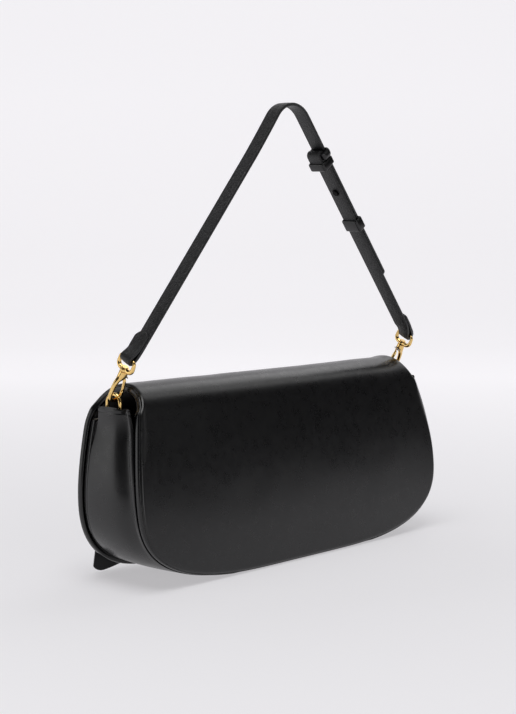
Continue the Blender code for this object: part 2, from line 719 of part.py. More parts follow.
def make_spring(side_name, frame):
    """Make one gate spring, a short coil round the pin beside the gate's hub."""
    start = -SLOT_WIDTH / 2 + GAP + HUB_WIDTH + GAP + SPRING_WIRE / 2
    room = SLOT_WIDTH / 2 - GAP - SPRING_WIRE / 2 - start
    steps = 10
    sections = []
    for index in range(SPRING_TURNS * steps + 1):
        turn = 2 * math.pi * index / steps
        share = index / (SPRING_TURNS * steps)
        radial = Vector((frame.side * math.cos(turn), 0.0, 0.0)) + frame.out * math.sin(turn)
        centre = frame.at(-PIVOT_SIDE, start + room * share, PIVOT_AT) + radial * SPRING_RADIUS
        section = []
        for corner in range(6):
            angle = math.pi / 3 * corner
            section.append(centre + (radial * math.cos(angle) + frame.wide * math.sin(angle))
                           * SPRING_WIRE / 2)
        sections.append(section)
    loft(f"gate_spring_{side_name}", sections, "steel", smooth=True)


def lathe(name, finish, origin, axis, profile, sides=20):
    """Turn a profile of distances along an axis and radii into a solid."""
    axis = Vector(axis).normalized()
    across = axis.orthogonal().normalized()
    second = axis.cross(across)
    sections = []
    for along, radius in profile:
        centre = Vector(origin) + axis * along
        sections.append([centre + (across * math.cos(turn) + second * math.sin(turn)) * radius
                         for turn in (2 * math.pi * index / sides for index in range(sides))])
    return loft(name, sections, finish, smooth=True)


def make_swivel(side_name, side):
    """Make the eye that the strap is sewn round, and the stem that it turns on."""
    frame = HookFrame(side)
    boss_start = COLLAR_END + GAP
    boss_end = boss_start + BOSS_LENGTH
    low, half = boss_start + EYE_WIRE / 2 + 0.0001, EYE_HALF_WIDTH
    corners = [(half, low), (half, EYE_BAR), (-half, EYE_BAR), (-half, low)]
    path = rounded_path([(0.0, low)] + corners + [(0.0, low)], [EYE_CORNER] * 4, 4)[:-1]
    points = [frame.at(0.0, spot.x, spot.y) for spot in path]
    eye = make_tube(f"swivel_eye_{side_name}", "gold", points, (1, 0, 0), EYE_WIRE / 2, 10, True)
    combine(eye, make_disc("boss", "gold", frame.at(0, 0, boss_start), frame.out, BOSS_RADIUS,
                           BOSS_LENGTH), "UNION")
    combine(eye, make_disc("bore", "gold", frame.at(0, 0, boss_start - 0.002), frame.out,
                           STEM_RADIUS + GAP, BOSS_LENGTH + 0.004), "DIFFERENCE")
    head = boss_end + GAP
    lathe(f"swivel_stem_{side_name}", "gold", frame.at(0, 0, 0), frame.out,
          [(HEAD_END + 0.0001 + GAP, STEM_RADIUS), (head, STEM_RADIUS),
           (head, STEM_HEAD_RADIUS), (head + STEM_HEAD, STEM_HEAD_RADIUS)])


class StrapFrame:
    """Places points for the strap, by distance from its top, offset and place across it."""

    def __init__(self):
        """Work out the strap's run from the hooks' eyes."""
        self.slope = math.radians(STRAP_HALF_ANGLE)
        self.span = ring_plane() + HOOK_SHIFT
        sine, cosine = math.sin(self.slope), math.cos(self.slope)
        self.top = self.span / math.tan(self.slope) - APEX_RADIUS * (1 / sine - 1)
        self.arc = APEX_RADIUS * (math.pi / 2 - self.slope)
        self.length = self.arc + (self.span - APEX_RADIUS * cosine) / sine

    def spine(self, along, offset=0.0):
        """Return a point on the strap's run, in its own flat, at an offset outwards."""
        side = -1 if along >= 0 else 1
        rest = abs(along) - self.arc
        turn = min(abs(along), self.arc) / APEX_RADIUS
        normal = Vector((side * math.sin(turn), math.cos(turn)))
        spot = Vector((0.0, self.top - APEX_RADIUS)) + normal * APEX_RADIUS
        if rest > 0:
            spot += Vector((side * normal.y, -side * normal.x)) * rest
        return spot + normal * offset

    def down(self, along):
        """Return the direction away from the top at a place on the strap's run."""
        step = 0.0001 if along >= 0 else -0.0001
        return (self.spine(along + step) - self.spine(along)).normalized()

    def lay(self, spot, across):
        """Return a point of the leaning strap for a point of its own flat."""
        begin, end = math.radians(HOOK_LEAN), math.radians(STRAP_LEAN)
        rise = min(max(spot.y, 0.0), LEAN_CHANGE)
        rate = (end - begin) / LEAN_CHANGE
        lean = begin + rate * rise
        base = Vector((RING_Y, RING_CENTRE_Z))
        base += Vector((math.sin(begin), math.cos(begin))) * (EYE_BAR + min(spot.y, 0.0))
        base += Vector((math.cos(begin) - math.cos(lean), math.sin(lean) - math.sin(begin))) / rate
        base += Vector((math.sin(end), math.cos(end))) * max(spot.y - LEAN_CHANGE, 0.0)
        return Vector((spot.x, base.x + across * math.cos(lean), base.y - across * math.sin(lean)))

    def sheet(self, name, path, tips=(False, False)):
        """Make a strip of strap leather along a path, with rounded tips where they are asked for."""
        normals, lengths = path_normals(path), path_lengths(path)
        half, thick = STRAP_WIDTH / 2, STRAP_THICKNESS / 2
        sections = []
        for spot, normal, length in zip(path, normals, lengths):
            wide = END_WIDTH / 2 + max(spot.y, 0.0) * END_FLARE
            for rounded, reach in zip(tips, (length, lengths[-1] - length)):
                if rounded and reach < half:
                    wide = min(wide, math.sqrt(half ** 2 - (half - reach) ** 2) + TIP_END)
            wide = min(wide, half)
            row = []
            for across, depth in ((-1, -1), (1, -1), (1, 1), (-1, 1)):
                row.append(self.lay(spot + normal * depth * thick, across * wide))
            sections.append(row)
        return loft(name, sections, "strap")

    def turned_end(self, side):
        """Return the path of an end, from its rounded tip down and round the eye's bar."""
        near, far = STRAP_THICKNESS / 2 + GAP / 2, EYE_WIRE / 2 + GAP + STRAP_THICKNESS / 2
        path = []
        for back in TIP_STEPS:
            path.append(self.spine(side * (self.length - TURN_BACK + back), near))
        path.append(self.spine(side * (self.length - CLOSE_UP), near))
        path.append(self.spine(side * (self.length - CLOSE_UP / 2), (near + far) / 2))
        bar = self.spine(side * self.length)
        outward = (self.spine(side * self.length, 1.0) - bar).normalized()
        for index in range(11):
            turn = math.pi * index / 10
            path.append(bar + (outward * math.cos(turn)
                               + self.down(side * self.length) * math.sin(turn)) * far)
        path.append(self.spine(side * (self.length - CLOSE_UP / 2), -(near + far) / 2))
        path.append(self.spine(side * (self.length - CLOSE_UP), -near))
        return path

    def band(self, name, finish, start, length, low, high, half):
        """Make a keeper: a band round the strap between two offsets."""

        def loop(grow):
            reach = half + grow
            points = [(0.0, low - grow), (reach, low - grow), (reach, high + grow),
                      (-reach, high + grow), (-reach, low - grow), (0.0, low - grow)]
            return rounded_path(points, [KEEPER_CORNER + grow * 0.5] * 4, 4)[:-1]

        sections = []
        for inner, outer in zip(loop(0.0), loop(KEEPER_WALL)):
            sections.append([self.lay(self.spine(start, inner.y), inner.x),
                             self.lay(self.spine(start, outer.y), outer.x),
                             self.lay(self.spine(start + length, outer.y), outer.x),
                             self.lay(self.spine(start + length, inner.y), inner.x)])
        return loft(name, sections, finish, closed=True)

    def axis(self, along):
        """Return a point on the strap's run and the direction square to its faces."""
        spot = self.lay(self.spine(along), 0.0)
        return spot, (self.lay(self.spine(along, 0.001), 0.0) - spot).normalized()


def make_strap():
    """Make the long strap, the short strap with its frame, the keepers and the stud."""
    frame = StrapFrame()
    near = STRAP_THICKNESS / 2 + GAP / 2
    path = frame.turned_end(-1)
    along = -frame.length + TURN_BACK + STRAIGHT_STEP
    while along < TAIL_FROM_TOP - TIP_STEPS[-1]:
        share = min(max((along + CROSS_FROM) / (CROSS_TO + CROSS_FROM), 0.0), 1.0)
        offset = -near + 2 * near * share * share * (3 - 2 * share)
        path.append(frame.spine(along, offset))
        along += CURVED_STEP if abs(along) < frame.arc + CURVED_STEP else STRAIGHT_STEP
    for back in reversed(TIP_STEPS):
        path.append(frame.spine(TAIL_FROM_TOP - back, near))
    strap_long = frame.sheet("strap_long", path, (True, True))

    path = frame.turned_end(1)
    steps = 12
    fold = FRAME_WIRE / 2 + GAP + STRAP_THICKNESS / 2
    for index in range(1, steps + 1):
        along = frame.length - CLOSE_UP + (FRAME_FROM_TOP - frame.length + CLOSE_UP) * index / steps
        path.append(frame.spine(along, -near))
    bar = frame.spine(FRAME_FROM_TOP, -near - fold)
    outward = (frame.spine(FRAME_FROM_TOP, 1.0) - frame.spine(FRAME_FROM_TOP)).normalized()
    for index in range(1, 9):
        turn = math.pi * index / 8
        path.append(bar + (outward * math.cos(turn) - frame.down(FRAME_FROM_TOP) * math.sin(turn))
                    * fold)
    path.append(frame.spine(FRAME_FROM_TOP + FOLD_LENGTH / 2, -near - 2 * fold))
    path.append(frame.spine(FRAME_FROM_TOP + FOLD_LENGTH, -near - 2 * fold))
    strap_short = frame.sheet("strap_short", path, (True, False))

    outside = STRAP_THICKNESS + GAP / 2
    bar_offset = near + fold
    half = EYE_HALF_WIDTH
    loop = rounded_path([(0.0, -bar_offset), (half, -bar_offset), (half, bar_offset),
                         (-half, bar_offset), (-half, -bar_offset), (0.0, -bar_offset)],
                        [FRAME_CORNER] * 4, 4)[:-1]
    points = [frame.lay(frame.spine(FRAME_FROM_TOP, spot.y), spot.x) for spot in loop]
    normal = (points[4] - points[0]).cross(points[12] - points[0])
    make_tube("strap_frame", "strap", points, normal, FRAME_WIRE / 2, 10, True)
    inner_half = STRAP_WIDTH / 2 + GAP
    folded = near + 2 * fold + STRAP_THICKNESS / 2
    frame.band("fixed_keeper", "strap", FIXED_KEEPER_FROM_TOP - FIXED_KEEPER_LENGTH / 2,
               FIXED_KEEPER_LENGTH, -folded - GAP, outside + GAP, inner_half)
    frame.band("sliding_keeper", "strap", KEEPER_FROM_TOP - KEEPER_LENGTH / 2, KEEPER_LENGTH,
               -outside - GAP, outside + GAP, inner_half)

    origin, axis = frame.axis(STUD_FROM_TOP)
    for target, places in ((strap_long, (-1, 0, 1)), (strap_short, (0,))):
        for place in places:
            spot, direction = frame.axis(STUD_FROM_TOP + place * HOLE_PITCH)
            cutter = make_disc("cutter", "steel", spot - direction * 0.004, direction,
                               STUD_SHAFT + GAP, 0.008, 14)
            combine(target, cutter, "DIFFERENCE")
    face = outside + GAP
    lathe("strap_stud", "gold", origin, axis,
          [(-face - STUD_FLANGE, STUD_RADIUS * 0.72), (-face - STUD_FLANGE * 0.5, STUD_RADIUS),
           (-face, STUD_RADIUS), (-face, STUD_SHAFT), (face, STUD_SHAFT), (face, STUD_RADIUS),
           (face + STUD_FLANGE * 0.5, STUD_RADIUS), (face + STUD_FLANGE, STUD_RADIUS * 0.72)])


def make_magnets():
    """Make the closure's two faces, their washers and the holes that they sit in."""
    inner_face = FLAP_FACE_Y + SHELL_THICKNESS
    board = SHELL_THICKNESS - LINING - GAP
    places = (("body", FRONT_WALL_Y, -1, LEATHER + GAP, ("front_panel", "front_board")),
              ("flap", inner_face, 1, LINING + GAP, ("flap_lining", "flap_board")))
    for name, face, outward, skin, cut in places:
        start = (0.0, face + outward * (GAP + MAGNET_FACE), MAGNET_HEIGHT)
        inward = (0.0, -outward, 0.0)
        washer = GAP + MAGNET_FACE + skin + GAP
        lathe(f"{name}_magnet", "gold", start, inward,
              [(0.0, MAGNET_RADIUS * 0.94), (MAGNET_FACE * 0.4, MAGNET_RADIUS),
               (MAGNET_FACE, MAGNET_RADIUS), (MAGNET_FACE, MAGNET_BOSS),
               (washer + WASHER_THICKNESS, MAGNET_BOSS)], 28)
        base = Vector(start) + Vector(inward) * washer
        make_disc(f"{name}_washer", "steel", base, inward, WASHER_RADIUS, WASHER_THICKNESS, 28,
                  MAGNET_BOSS + GAP)
        sizes = (MAGNET_BOSS + GAP, WASHER_RADIUS + GAP)
        depths = ((-0.001, GAP + MAGNET_FACE + skin), (washer - 2 * GAP, washer + board))
        for target, radius, (low, high) in zip(cut, sizes, depths):
            low_spot = Vector(start) + Vector(inward) * low
            cutter = make_disc("cutter", "steel", low_spot, inward, radius, high - low, 28)
            combine(bpy.data.objects[target], cutter, "DIFFERENCE")


def make_tie():
    """Make the tie on the flap: a knot in its middle and an end to each lower corner."""
    face = FLAP_FACE_Y - GAP
    sections = []
    count = 10
    for index in range(count + 1):
        share = -1 + 2 * index / count
        bulge = (1 - share ** 4) ** 0.5
        half = KNOT_WIDTH / 2 * (KNOT_WAIST + (1 - KNOT_WAIST) * abs(share))
        depth = KNOT_RIM + (KNOT_DEPTH - KNOT_RIM) * bulge
        z = KNOT_Z + share * KNOT_HEIGHT / 2
        sections.append([Vector((-half, face, z)), Vector((-half * 0.9, face - depth * 0.8, z)),
                         Vector((-half * 0.4, face - depth, z)),
                         Vector((half * 0.4, face - depth, z)),
                         Vector((half * 0.9, face - depth * 0.8, z)), Vector((half, face, z))])
    loft("tie_knot", sections, "leather")
    for side_name, side in SIDES.items():
        sections = []
        count = 16
        start_x = KNOT_WIDTH / 2 + GAP
        for index in range(count + 1):
            share = index / count
            x = start_x + (TIE_END_X - start_x) * share
            fall = max(1 - share / TIE_DROP, 0.0) ** 1.5
            low = TIE_FOOT + (KNOT_Z - TIE_AT_KNOT / 2 - TIE_FOOT) * fall
            high = (KNOT_Z + TIE_AT_KNOT / 2) * (1 - share) + (TIE_FOOT + TIE_END_HEIGHT) * share
            upper_x = x - TIE_END_SLANT * share
            back = face - TIE_REACH * share ** 1.4 - TIE_BOW * math.sin(math.pi * share)
            upper = back + TIE_TILT * share
            sections.append([Vector((side * x, back, low)), Vector((side * upper_x, upper, high)),
                             Vector((side * upper_x, upper - TIE_LEATHER, high)),
                             Vector((side * x, back - TIE_LEATHER, low))])
        loft(f"tie_end_{side_name}", sections, "leather")


clear_scene()
make_shell()
make_gusset()
make_magnets()
make_tie()
for hand, sign in SIDES.items():
    make_ring(hand, sign)
    make_tab(hand, sign)
    make_stitching(hand, sign)
    make_hook(hand, sign)
    make_swivel(hand, sign)
make_strap()
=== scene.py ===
"""Dresses the flap shoulder bag: smooth black leather, pebbled strap, gold coloured fittings.

Lengths are in metres. +Z is up, the flap faces -Y and +X is on the right of someone who looks
at the flap. Each sub-assembly is a class that builds its pieces and says what they ride on.
"""
import logging
import math
from dataclasses import dataclass, field
from enum import Enum
from typing import Callable, Sequence

import bpy
import numpy as np
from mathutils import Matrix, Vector, noise


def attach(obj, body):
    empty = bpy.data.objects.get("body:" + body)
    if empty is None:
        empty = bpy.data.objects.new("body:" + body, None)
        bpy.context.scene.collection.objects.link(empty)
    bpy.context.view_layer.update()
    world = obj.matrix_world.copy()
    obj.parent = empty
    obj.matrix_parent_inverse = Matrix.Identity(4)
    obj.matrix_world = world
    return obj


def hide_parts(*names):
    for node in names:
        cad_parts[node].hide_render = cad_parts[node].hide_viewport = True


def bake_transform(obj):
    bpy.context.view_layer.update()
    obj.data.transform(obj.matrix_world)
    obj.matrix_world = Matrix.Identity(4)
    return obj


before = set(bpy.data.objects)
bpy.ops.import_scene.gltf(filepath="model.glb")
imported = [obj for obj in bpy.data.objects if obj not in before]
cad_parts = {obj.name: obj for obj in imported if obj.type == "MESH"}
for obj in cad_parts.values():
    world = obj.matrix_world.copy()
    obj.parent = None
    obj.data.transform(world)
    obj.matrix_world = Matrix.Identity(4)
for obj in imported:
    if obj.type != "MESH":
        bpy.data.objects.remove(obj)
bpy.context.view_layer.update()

LOG = logging.getLogger("bag")
MM = 0.001

Item = bpy.types.Object
Material = bpy.types.Material
Tree = bpy.types.NodeTree
Socket = bpy.types.NodeSocket


class Side(Enum):
    """The two ends of the bag, by the sign of X."""

    RIGHT = 1
    LEFT = -1

    @property
    def word(self) -> str:
        """Return the word that piece names end with."""
        return self.name.lower()


# Finishes


def linear(code: str) -> tuple[float, float, float, float]:
    """Turn an sRGB hex colour into the linear colour that shaders use.

    Args:
        code: six hex digits, with or without a leading hash.

    Returns:
        Red, green, blue and alpha.
    """
    digits = code.lstrip("#")
    parts = [int(digits[index:index + 2], 16) / 255 for index in (0, 2, 4)]
    parts = [part / 12.92 if part <= 0.04045 else ((part + 0.055) / 1.055) ** 2.4
             for part in parts]
    return parts[0], parts[1], parts[2], 1.0


def add_node(tree: Tree, kind: str, settings: dict | None = None,
             links: dict | None = None) -> bpy.types.Node:
    """Add a node with its settings and links.

    Args:
        tree: the node tree.
        kind: the node's type name.
        settings: socket names or attribute names with their values.
        links: input socket names with the output sockets that feed them.

    Returns:
        The new node.
    """
    node = tree.nodes.new(kind)
    for name, value in (settings or {}).items():
        if name in node.inputs:
            node.inputs[name].default_value = value
        else:
            setattr(node, name, value)
    for name, source in (links or {}).items():
        target = node.inputs[int(name)] if name.isdigit() else node.inputs[name]
        tree.links.new(source, target)
    return node


def start_material(name: str) -> tuple[Material, Tree, bpy.types.Node]:
    """Return a new material, its tree and its Principled shader."""
    material = bpy.data.materials.new(name)
    material.use_nodes = True
    tree = material.node_tree
    return material, tree, tree.nodes["Principled BSDF"]


def ramp(tree: Tree, source: Socket, low: float, high: float, first: float,
         last: float) -> Socket:
    """Map a value from one range to another and return the result's socket."""
    node = add_node(tree, "ShaderNodeMapRange",
                    {"From Min": low, "From Max": high, "To Min": first, "To Max": last},
                    {"Value": source})
    return node.outputs["Result"]


def grain(tree: Tree, place: Socket, size_mm: float, detail: float,
          roughness: float = 0.5) -> Socket:
    """Return noise from 0 to 1 with features of a size in millimetres."""
    node = add_node(tree, "ShaderNodeTexNoise",
                    {"Scale": 1 / (size_mm * MM), "Detail": detail, "Roughness": roughness},
                    {"Vector": place})
    return node.outputs["Fac"]


def relief(tree: Tree, height: Socket, strength: float, depth_mm: float,
           under: Socket | None = None) -> Socket:
    """Return the normal of a face that a height raises, over a normal below if one is given."""
    links = {"Height": height, "Normal": under} if under else {"Height": height}
    node = add_node(tree, "ShaderNodeBump", {"Strength": strength, "Distance": depth_mm * MM},
                    links)
    return node.outputs["Normal"]


@dataclass(frozen=True)
class Finish:
    """A material whose grain mixes two hex colours, one where it is low and one where high."""

    name: str
    low: str
    high: str
    metallic: float = 0.0
    sheen: float = 0.0

    def draw(self, tree: Tree, place: Socket) -> tuple[Socket, Socket, Socket]:
        """Return the sockets of the colours' share, the roughness and the normal."""
        raise NotImplementedError

    def make(self) -> Material:
        """Return the material."""
        material, tree, shader = start_material(self.name)
        place = add_node(tree, "ShaderNodeTexCoord").outputs["Object"]
        share, rough, normal = self.draw(tree, place)
        mix = add_node(tree, "ShaderNodeMix", {"data_type": "RGBA"}, {"Factor": share})
        mix.inputs["A"].default_value = linear(self.low)
        mix.inputs["B"].default_value = linear(self.high)
        tree.links.new(mix.outputs["Result"], shader.inputs["Base Color"])
        tree.links.new(rough, shader.inputs["Roughness"])
        tree.links.new(normal, shader.inputs["Normal"])
        shader.inputs["Metallic"].default_value = self.metallic
        shader.inputs["Sheen Weight"].default_value = self.sheen
        return material


@dataclass(frozen=True)
class CalfLeather(Finish):
    """Smooth glazed calf leather: very fine pores, a broad soft sheen and a faint haze."""

    roughness: float = 0.29
    pore_mm: float = 0.55
    pore_depth_mm: float = 0.008
    pore_strength: float = 0.15
    crease_mm: float = 7.0
    crease_depth_mm: float = 0.06
    crease_strength: float = 0.12
    haze_mm: float = 38.0

    def draw(self, tree: Tree, place: Socket) -> tuple[Socket, Socket, Socket]:
        """Return the haze's share, a sheen that wanders and the pores under the creases."""
        haze = grain(tree, place, self.haze_mm, 4.0, 0.55)
        crease = grain(tree, place, self.crease_mm, 7.0, 0.62)
        pores = add_node(tree, "ShaderNodeTexVoronoi", {"Scale": 1 / (self.pore_mm * MM)},
                         {"Vector": place}).outputs["Distance"]
        under = relief(tree, pores, self.pore_strength, self.pore_depth_mm)
        return (ramp(tree, haze, 0.35, 0.70, 0.0, 1.0),
                ramp(tree, crease, 0.30, 0.75, self.roughness - 0.035, self.roughness + 0.05),
                relief(tree, crease, self.crease_strength, self.crease_depth_mm, under))


@dataclass(frozen=True)
class PebbledLeather(Finish):
    """Strap leather with an embossed pebble grain that breaks the light into small points."""

    roughness: float = 0.33
    pebble_mm: float = 0.95
    depth_mm: float = 0.24
    wander_mm: float = 2.2
    wander_reach: float = 0.45 * MM

    def draw(self, tree: Tree, place: Socket) -> tuple[Socket, Socket, Socket]:
        """Return the pebbles' height, dull valleys with shinier tops, and their relief."""
        wander = add_node(tree, "ShaderNodeTexNoise",
                          {"Scale": 1 / (self.wander_mm * MM), "Detail": 2.0},
                          {"Vector": place})
        bent = add_node(tree, "ShaderNodeVectorMath", {"operation": "MULTIPLY_ADD"},
                        {"0": wander.outputs["Color"], "2": place})
        bent.inputs[1].default_value = (self.wander_reach,) * 3
        pebbles = add_node(tree, "ShaderNodeTexVoronoi",
                           {"Scale": 1 / (self.pebble_mm * MM), "feature": "SMOOTH_F1",
                            "Smoothness": 0.35}, {"Vector": bent.outputs["Vector"]})
        height = ramp(tree, pebbles.outputs["Distance"], 0.05, 0.75, 1.0, 0.0)
        return (height,
                ramp(tree, height, 0.0, 1.0, self.roughness + 0.14, self.roughness - 0.05),
                relief(tree, height, 0.9, self.depth_mm))


@dataclass(frozen=True)
class DullFinish(Finish):
    """A dull, slightly uneven face, such as flesh-side leather, waxed thread or grey board."""

    grain_mm: float = 1.0
    roughness: float = 0.9
    depth_mm: float = 0.05
    stretch: tuple[float, float, float] = (1.0, 1.0, 1.0)

    def draw(self, tree: Tree, place: Socket) -> tuple[Socket, Socket, Socket]:
        """Return the grain's share, its roughness and its relief."""
        stretched = add_node(tree, "ShaderNodeMapping", {"Scale": self.stretch},
                                {"Vector": place}).outputs["Vector"]
        fibre = grain(tree, stretched, self.grain_mm, 5.0, 0.6)
        return (ramp(tree, fibre, 0.35, 0.65, 0.0, 1.0),
                ramp(tree, fibre, 0.3, 0.7, self.roughness - 0.06, self.roughness + 0.06),
                relief(tree, fibre, 0.7, self.depth_mm))


@dataclass(frozen=True)
class TwillCloth(Finish):
    """Cotton twill lining: a soft diagonal weave, drawn at 1.1 mm so that it shows."""

    sheen: float = 0.25
    rib_mm: float = 1.1
    depth_mm: float = 0.10

    def draw(self, tree: Tree, place: Socket) -> tuple[Socket, Socket, Socket]:
        """Return the ribs' height, duller valleys and the weave's relief."""
        slant = add_node(tree, "ShaderNodeMapping", {"Rotation": (0.6, 0.5, 0.8)},
                         {"Vector": place})
        ribs = add_node(tree, "ShaderNodeTexWave",
                        {"Scale": 0.31416 / (self.rib_mm * MM), "Distortion": 0.6,
                         "Detail": 2.0}, {"Vector": slant.outputs["Vector"]}).outputs["Fac"]
        return (ribs, ramp(tree, ribs, 0.0, 1.0, 0.92, 0.80),
                relief(tree, ribs, 0.6, self.depth_mm))


@dataclass(frozen=True)
class PlatedMetal(Finish):
    """Polished and plated metal: a mirror-like face with a very faint polishing ripple."""

    metallic: float = 1.0
    roughness: float = 0.14
    ripple_mm: float = 1.6
    depth_mm: float = 0.02

    def draw(self, tree: Tree, place: Socket) -> tuple[Socket, Socket, Socket]:
        """Return the ripple's share, its gloss and its relief."""
        ripple = grain(tree, place, self.ripple_mm, 3.0)
        return (ramp(tree, ripple, 0.35, 0.65, 0.0, 1.0),
                ramp(tree, ripple, 0.3, 0.7, self.roughness - 0.03, self.roughness + 0.05),
                relief(tree, ripple, 0.25, self.depth_mm))


class Finishes:
    """Every material of the bag, made once."""

    def __init__(self) -> None:
        """Make the materials."""
        self.leather = CalfLeather("glazed_calf_black", "040405", "070708").make()
        self.edge = CalfLeather("glazed_calf_edge", "040405", "070708", roughness=0.24).make()
        self.strap = PebbledLeather("pebbled_leather_black", "050506", "101013").make()
        self.flesh = DullFinish("flesh_side_black", "09090A", "101012", sheen=0.15,
                                grain_mm=0.6, roughness=0.88, depth_mm=0.10).make()
        self.lining = TwillCloth("twill_lining_black", "0C0C0D", "19181A").make()
        self.board = DullFinish("grey_board", "8A8276", "9A9286", grain_mm=1.4).make()
        self.thread = DullFinish("waxed_thread_black", "101012", "1B1B1E", grain_mm=0.35,
                                 roughness=0.6, depth_mm=0.06, stretch=(1.0, 1.0, 0.4)).make()
        self.gold = PlatedMetal("gold_plated_zinc", "F2D08C", "E9C277").make()
        self.black_metal = PlatedMetal("black_painted_metal", "0A0A0B", "101011",
                                       roughness=0.3).make()
        self.steel = PlatedMetal("nickel_plated_steel", "B8B6B2", "A8A6A2",
                                 roughness=0.26).make()


# Mesh helpers


def select_only(*items: Item) -> None:
    """Select only these objects, the first as active: an operator acts on all that is selected."""
    if bpy.context.object and bpy.context.object.mode != "OBJECT":
        bpy.ops.object.mode_set(mode="OBJECT")
    bpy.ops.object.select_all(action="DESELECT")
    for item in items:
        item.select_set(True)
        bpy.context.view_layer.objects.active = items[0]


def set_points(item: Item, points: np.ndarray) -> None:
    """Move a mesh's points to the places given, in their order."""
    flat = np.asarray(points, dtype=np.float32).reshape(-1)
    assert len(flat) == 3 * len(item.data.vertices), (item.name, len(flat) // 3)
    item.data.vertices.foreach_set("co", flat)
    item.data.update()


def new_grid(name: str, columns: int, rows: int) -> Item:
    """Add a grid primitive with that many points along and across, ready to be shaped."""
    select_only()
    bpy.ops.mesh.primitive_grid_add(x_subdivisions=columns - 1, y_subdivisions=rows - 1,
                                    size=1.0)
    item = bpy.context.object
    item.name = name
    item.data.name = name
    return item


def edit_all(item: Item, *steps: Callable[[], object]) -> None:
    """Run edit-mode operators on all of a mesh."""
    select_only(item)
    bpy.ops.object.mode_set(mode="EDIT")
    bpy.ops.mesh.select_mode(type="VERT")
    bpy.ops.mesh.select_all(action="SELECT")
    for step in steps:
        step()
    bpy.ops.object.mode_set(mode="OBJECT")


def outward() -> None:
    """Turn all faces outwards."""
    bpy.ops.mesh.select_all(action="SELECT")
    bpy.ops.mesh.normals_make_consistent(inside=False)


def close_ends() -> None:
    """Fill every open rim with a face."""
    bpy.ops.mesh.select_all(action="SELECT")
    bpy.ops.mesh.remove_doubles(threshold=1e-6)
    bpy.ops.mesh.select_all(action="SELECT")
    bpy.ops.mesh.fill_holes(sides=0)


def smooth(item: Item, degrees: float = 40.0) -> None:
    """Shade a mesh smooth, apart from edges sharper than an angle."""
    select_only(item)
    bpy.ops.object.shade_smooth_by_angle(angle=math.radians(degrees))


def apply_modifier(item: Item, kind: str, **settings: object) -> None:
    """Add a modifier, set it and apply it."""
    step = item.modifiers.new(kind.lower(), kind)
    for name, value in settings.items():
        setattr(step, name, value)
    select_only(item)
    bpy.ops.object.modifier_apply(modifier=step.name)


def closed_sweep(name: str, rings: np.ndarray, loop: bool = False) -> Item:
    """Skin a row of equal rings of points into a closed solid.

    Args:
        name: the piece's name.
        rings: places, as rows by points by three.
        loop: whether the last ring joins the first.

    Returns:
        The new object.
    """
    rings = np.asarray(rings, dtype=float)
    if loop:
        rings = np.concatenate([rings, rings[:1]], axis=0)
    rings = np.concatenate([rings, rings[:, :1]], axis=1)
    item = new_grid(name, rings.shape[1], rings.shape[0])
    set_points(item, rings.reshape(-1, 3))
    edit_all(item, close_ends, outward)
    smooth(item)
    return item


def sheet_mesh(name: str, points: np.ndarray, thickness: float) -> Item:
    """Make a sheet from a grid of places on one face, thickened away from its normals.

    Args:
        name: the piece's name.
        points: rows by columns by three.
        thickness: in metres, towards the back of the face.

    Returns:
        The new object.
    """
    points = np.asarray(points, dtype=float)
    item = new_grid(name, points.shape[1], points.shape[0])
    set_points(item, points.reshape(-1, 3))
    apply_modifier(item, "SOLIDIFY", thickness=thickness, offset=-1.0, use_even_offset=False)
    smooth(item)
    return item


def finish_piece(item: Item, material: Material, body: str,
                 replaced: Sequence[str]) -> None:
    """Give a piece its material, its body and the solids that it stands for.

    Args:
        item: the piece.
        material: its finish.
        body: what it rides on, or nothing where it spans two bodies.
        replaced: the solids that it stands for.
    """
    item.data.materials.clear()
    item.data.materials.append(material)
    if body:
        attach(item, body)
    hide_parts(*replaced)
    LOG.info("%s: %d faces on %s", item.name, len(item.data.polygons), body or "two bodies")


def bend_over_roll(item: Item) -> None:
    """Bake the place of a piece that crosses the flap's fold into its points."""
    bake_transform(item)


# Small sums


def unit(ways: np.ndarray) -> np.ndarray:
    """Return directions at length one, for one direction or for rows of them."""
    return ways / np.linalg.norm(ways, axis=-1, keepdims=True)


def reach_along(places: np.ndarray) -> np.ndarray:
    """Return the distance along a path at each of its places."""
    steps = np.linalg.norm(np.diff(places, axis=0), axis=1)
    return np.concatenate([[0.0], np.cumsum(steps)])


def eased(share: np.ndarray | float) -> np.ndarray | float:
    """Return a share from 0 to 1 that starts and ends gently."""
    return share * share * (3 - 2 * share)


def climb(value: np.ndarray, start: float, reach: float) -> np.ndarray:
    """Return a share that climbs evenly from 0 at a start to 1 a reach beyond it."""
    return np.clip((value - start) / reach, 0.0, 1.0)


def hump(value: np.ndarray, middle: float, reach: np.ndarray | float) -> np.ndarray:
    """Return a soft hump that is one at its middle and fades over its reach."""
    return np.exp(-((value - middle) / reach) ** 2)


# The shell's form


@dataclass(frozen=True)
class ShellSizes:
    """The sizes of the walls, the same as the solids have."""

    half_width: float = 0.1603
    widest: float = 0.0615
    shoulder: float = 0.121
    shoulder_half: float = 0.1506
    top: float = 0.1373
    top_half: float = 0.1431
    side_curve: float = 1.6
    roll_curve: float = 0.66
    corner: float = 0.0303
    corner_power: float = 2.88
    wall_foot: float = 0.0003
    flap_corner: float = 0.0903
    flap_power: float = 2.55
    flap_foot: float = 0.0027
    foot_y: float = 0.0353
    lean: float = 0.0150
    leg_top: float = 0.118
    flap_y: float = -0.036
    thickness: float = 0.0062
    front_y: float = -0.0275
    front_top: float = 0.112
    front_thickness: float = 0.0042
    gusset_top: float = 0.1215
    gusset_flare: float = 0.0044
    flare_start: float = 0.1000
    gusset_setback: float = 0.0008


SIZES = ShellSizes()


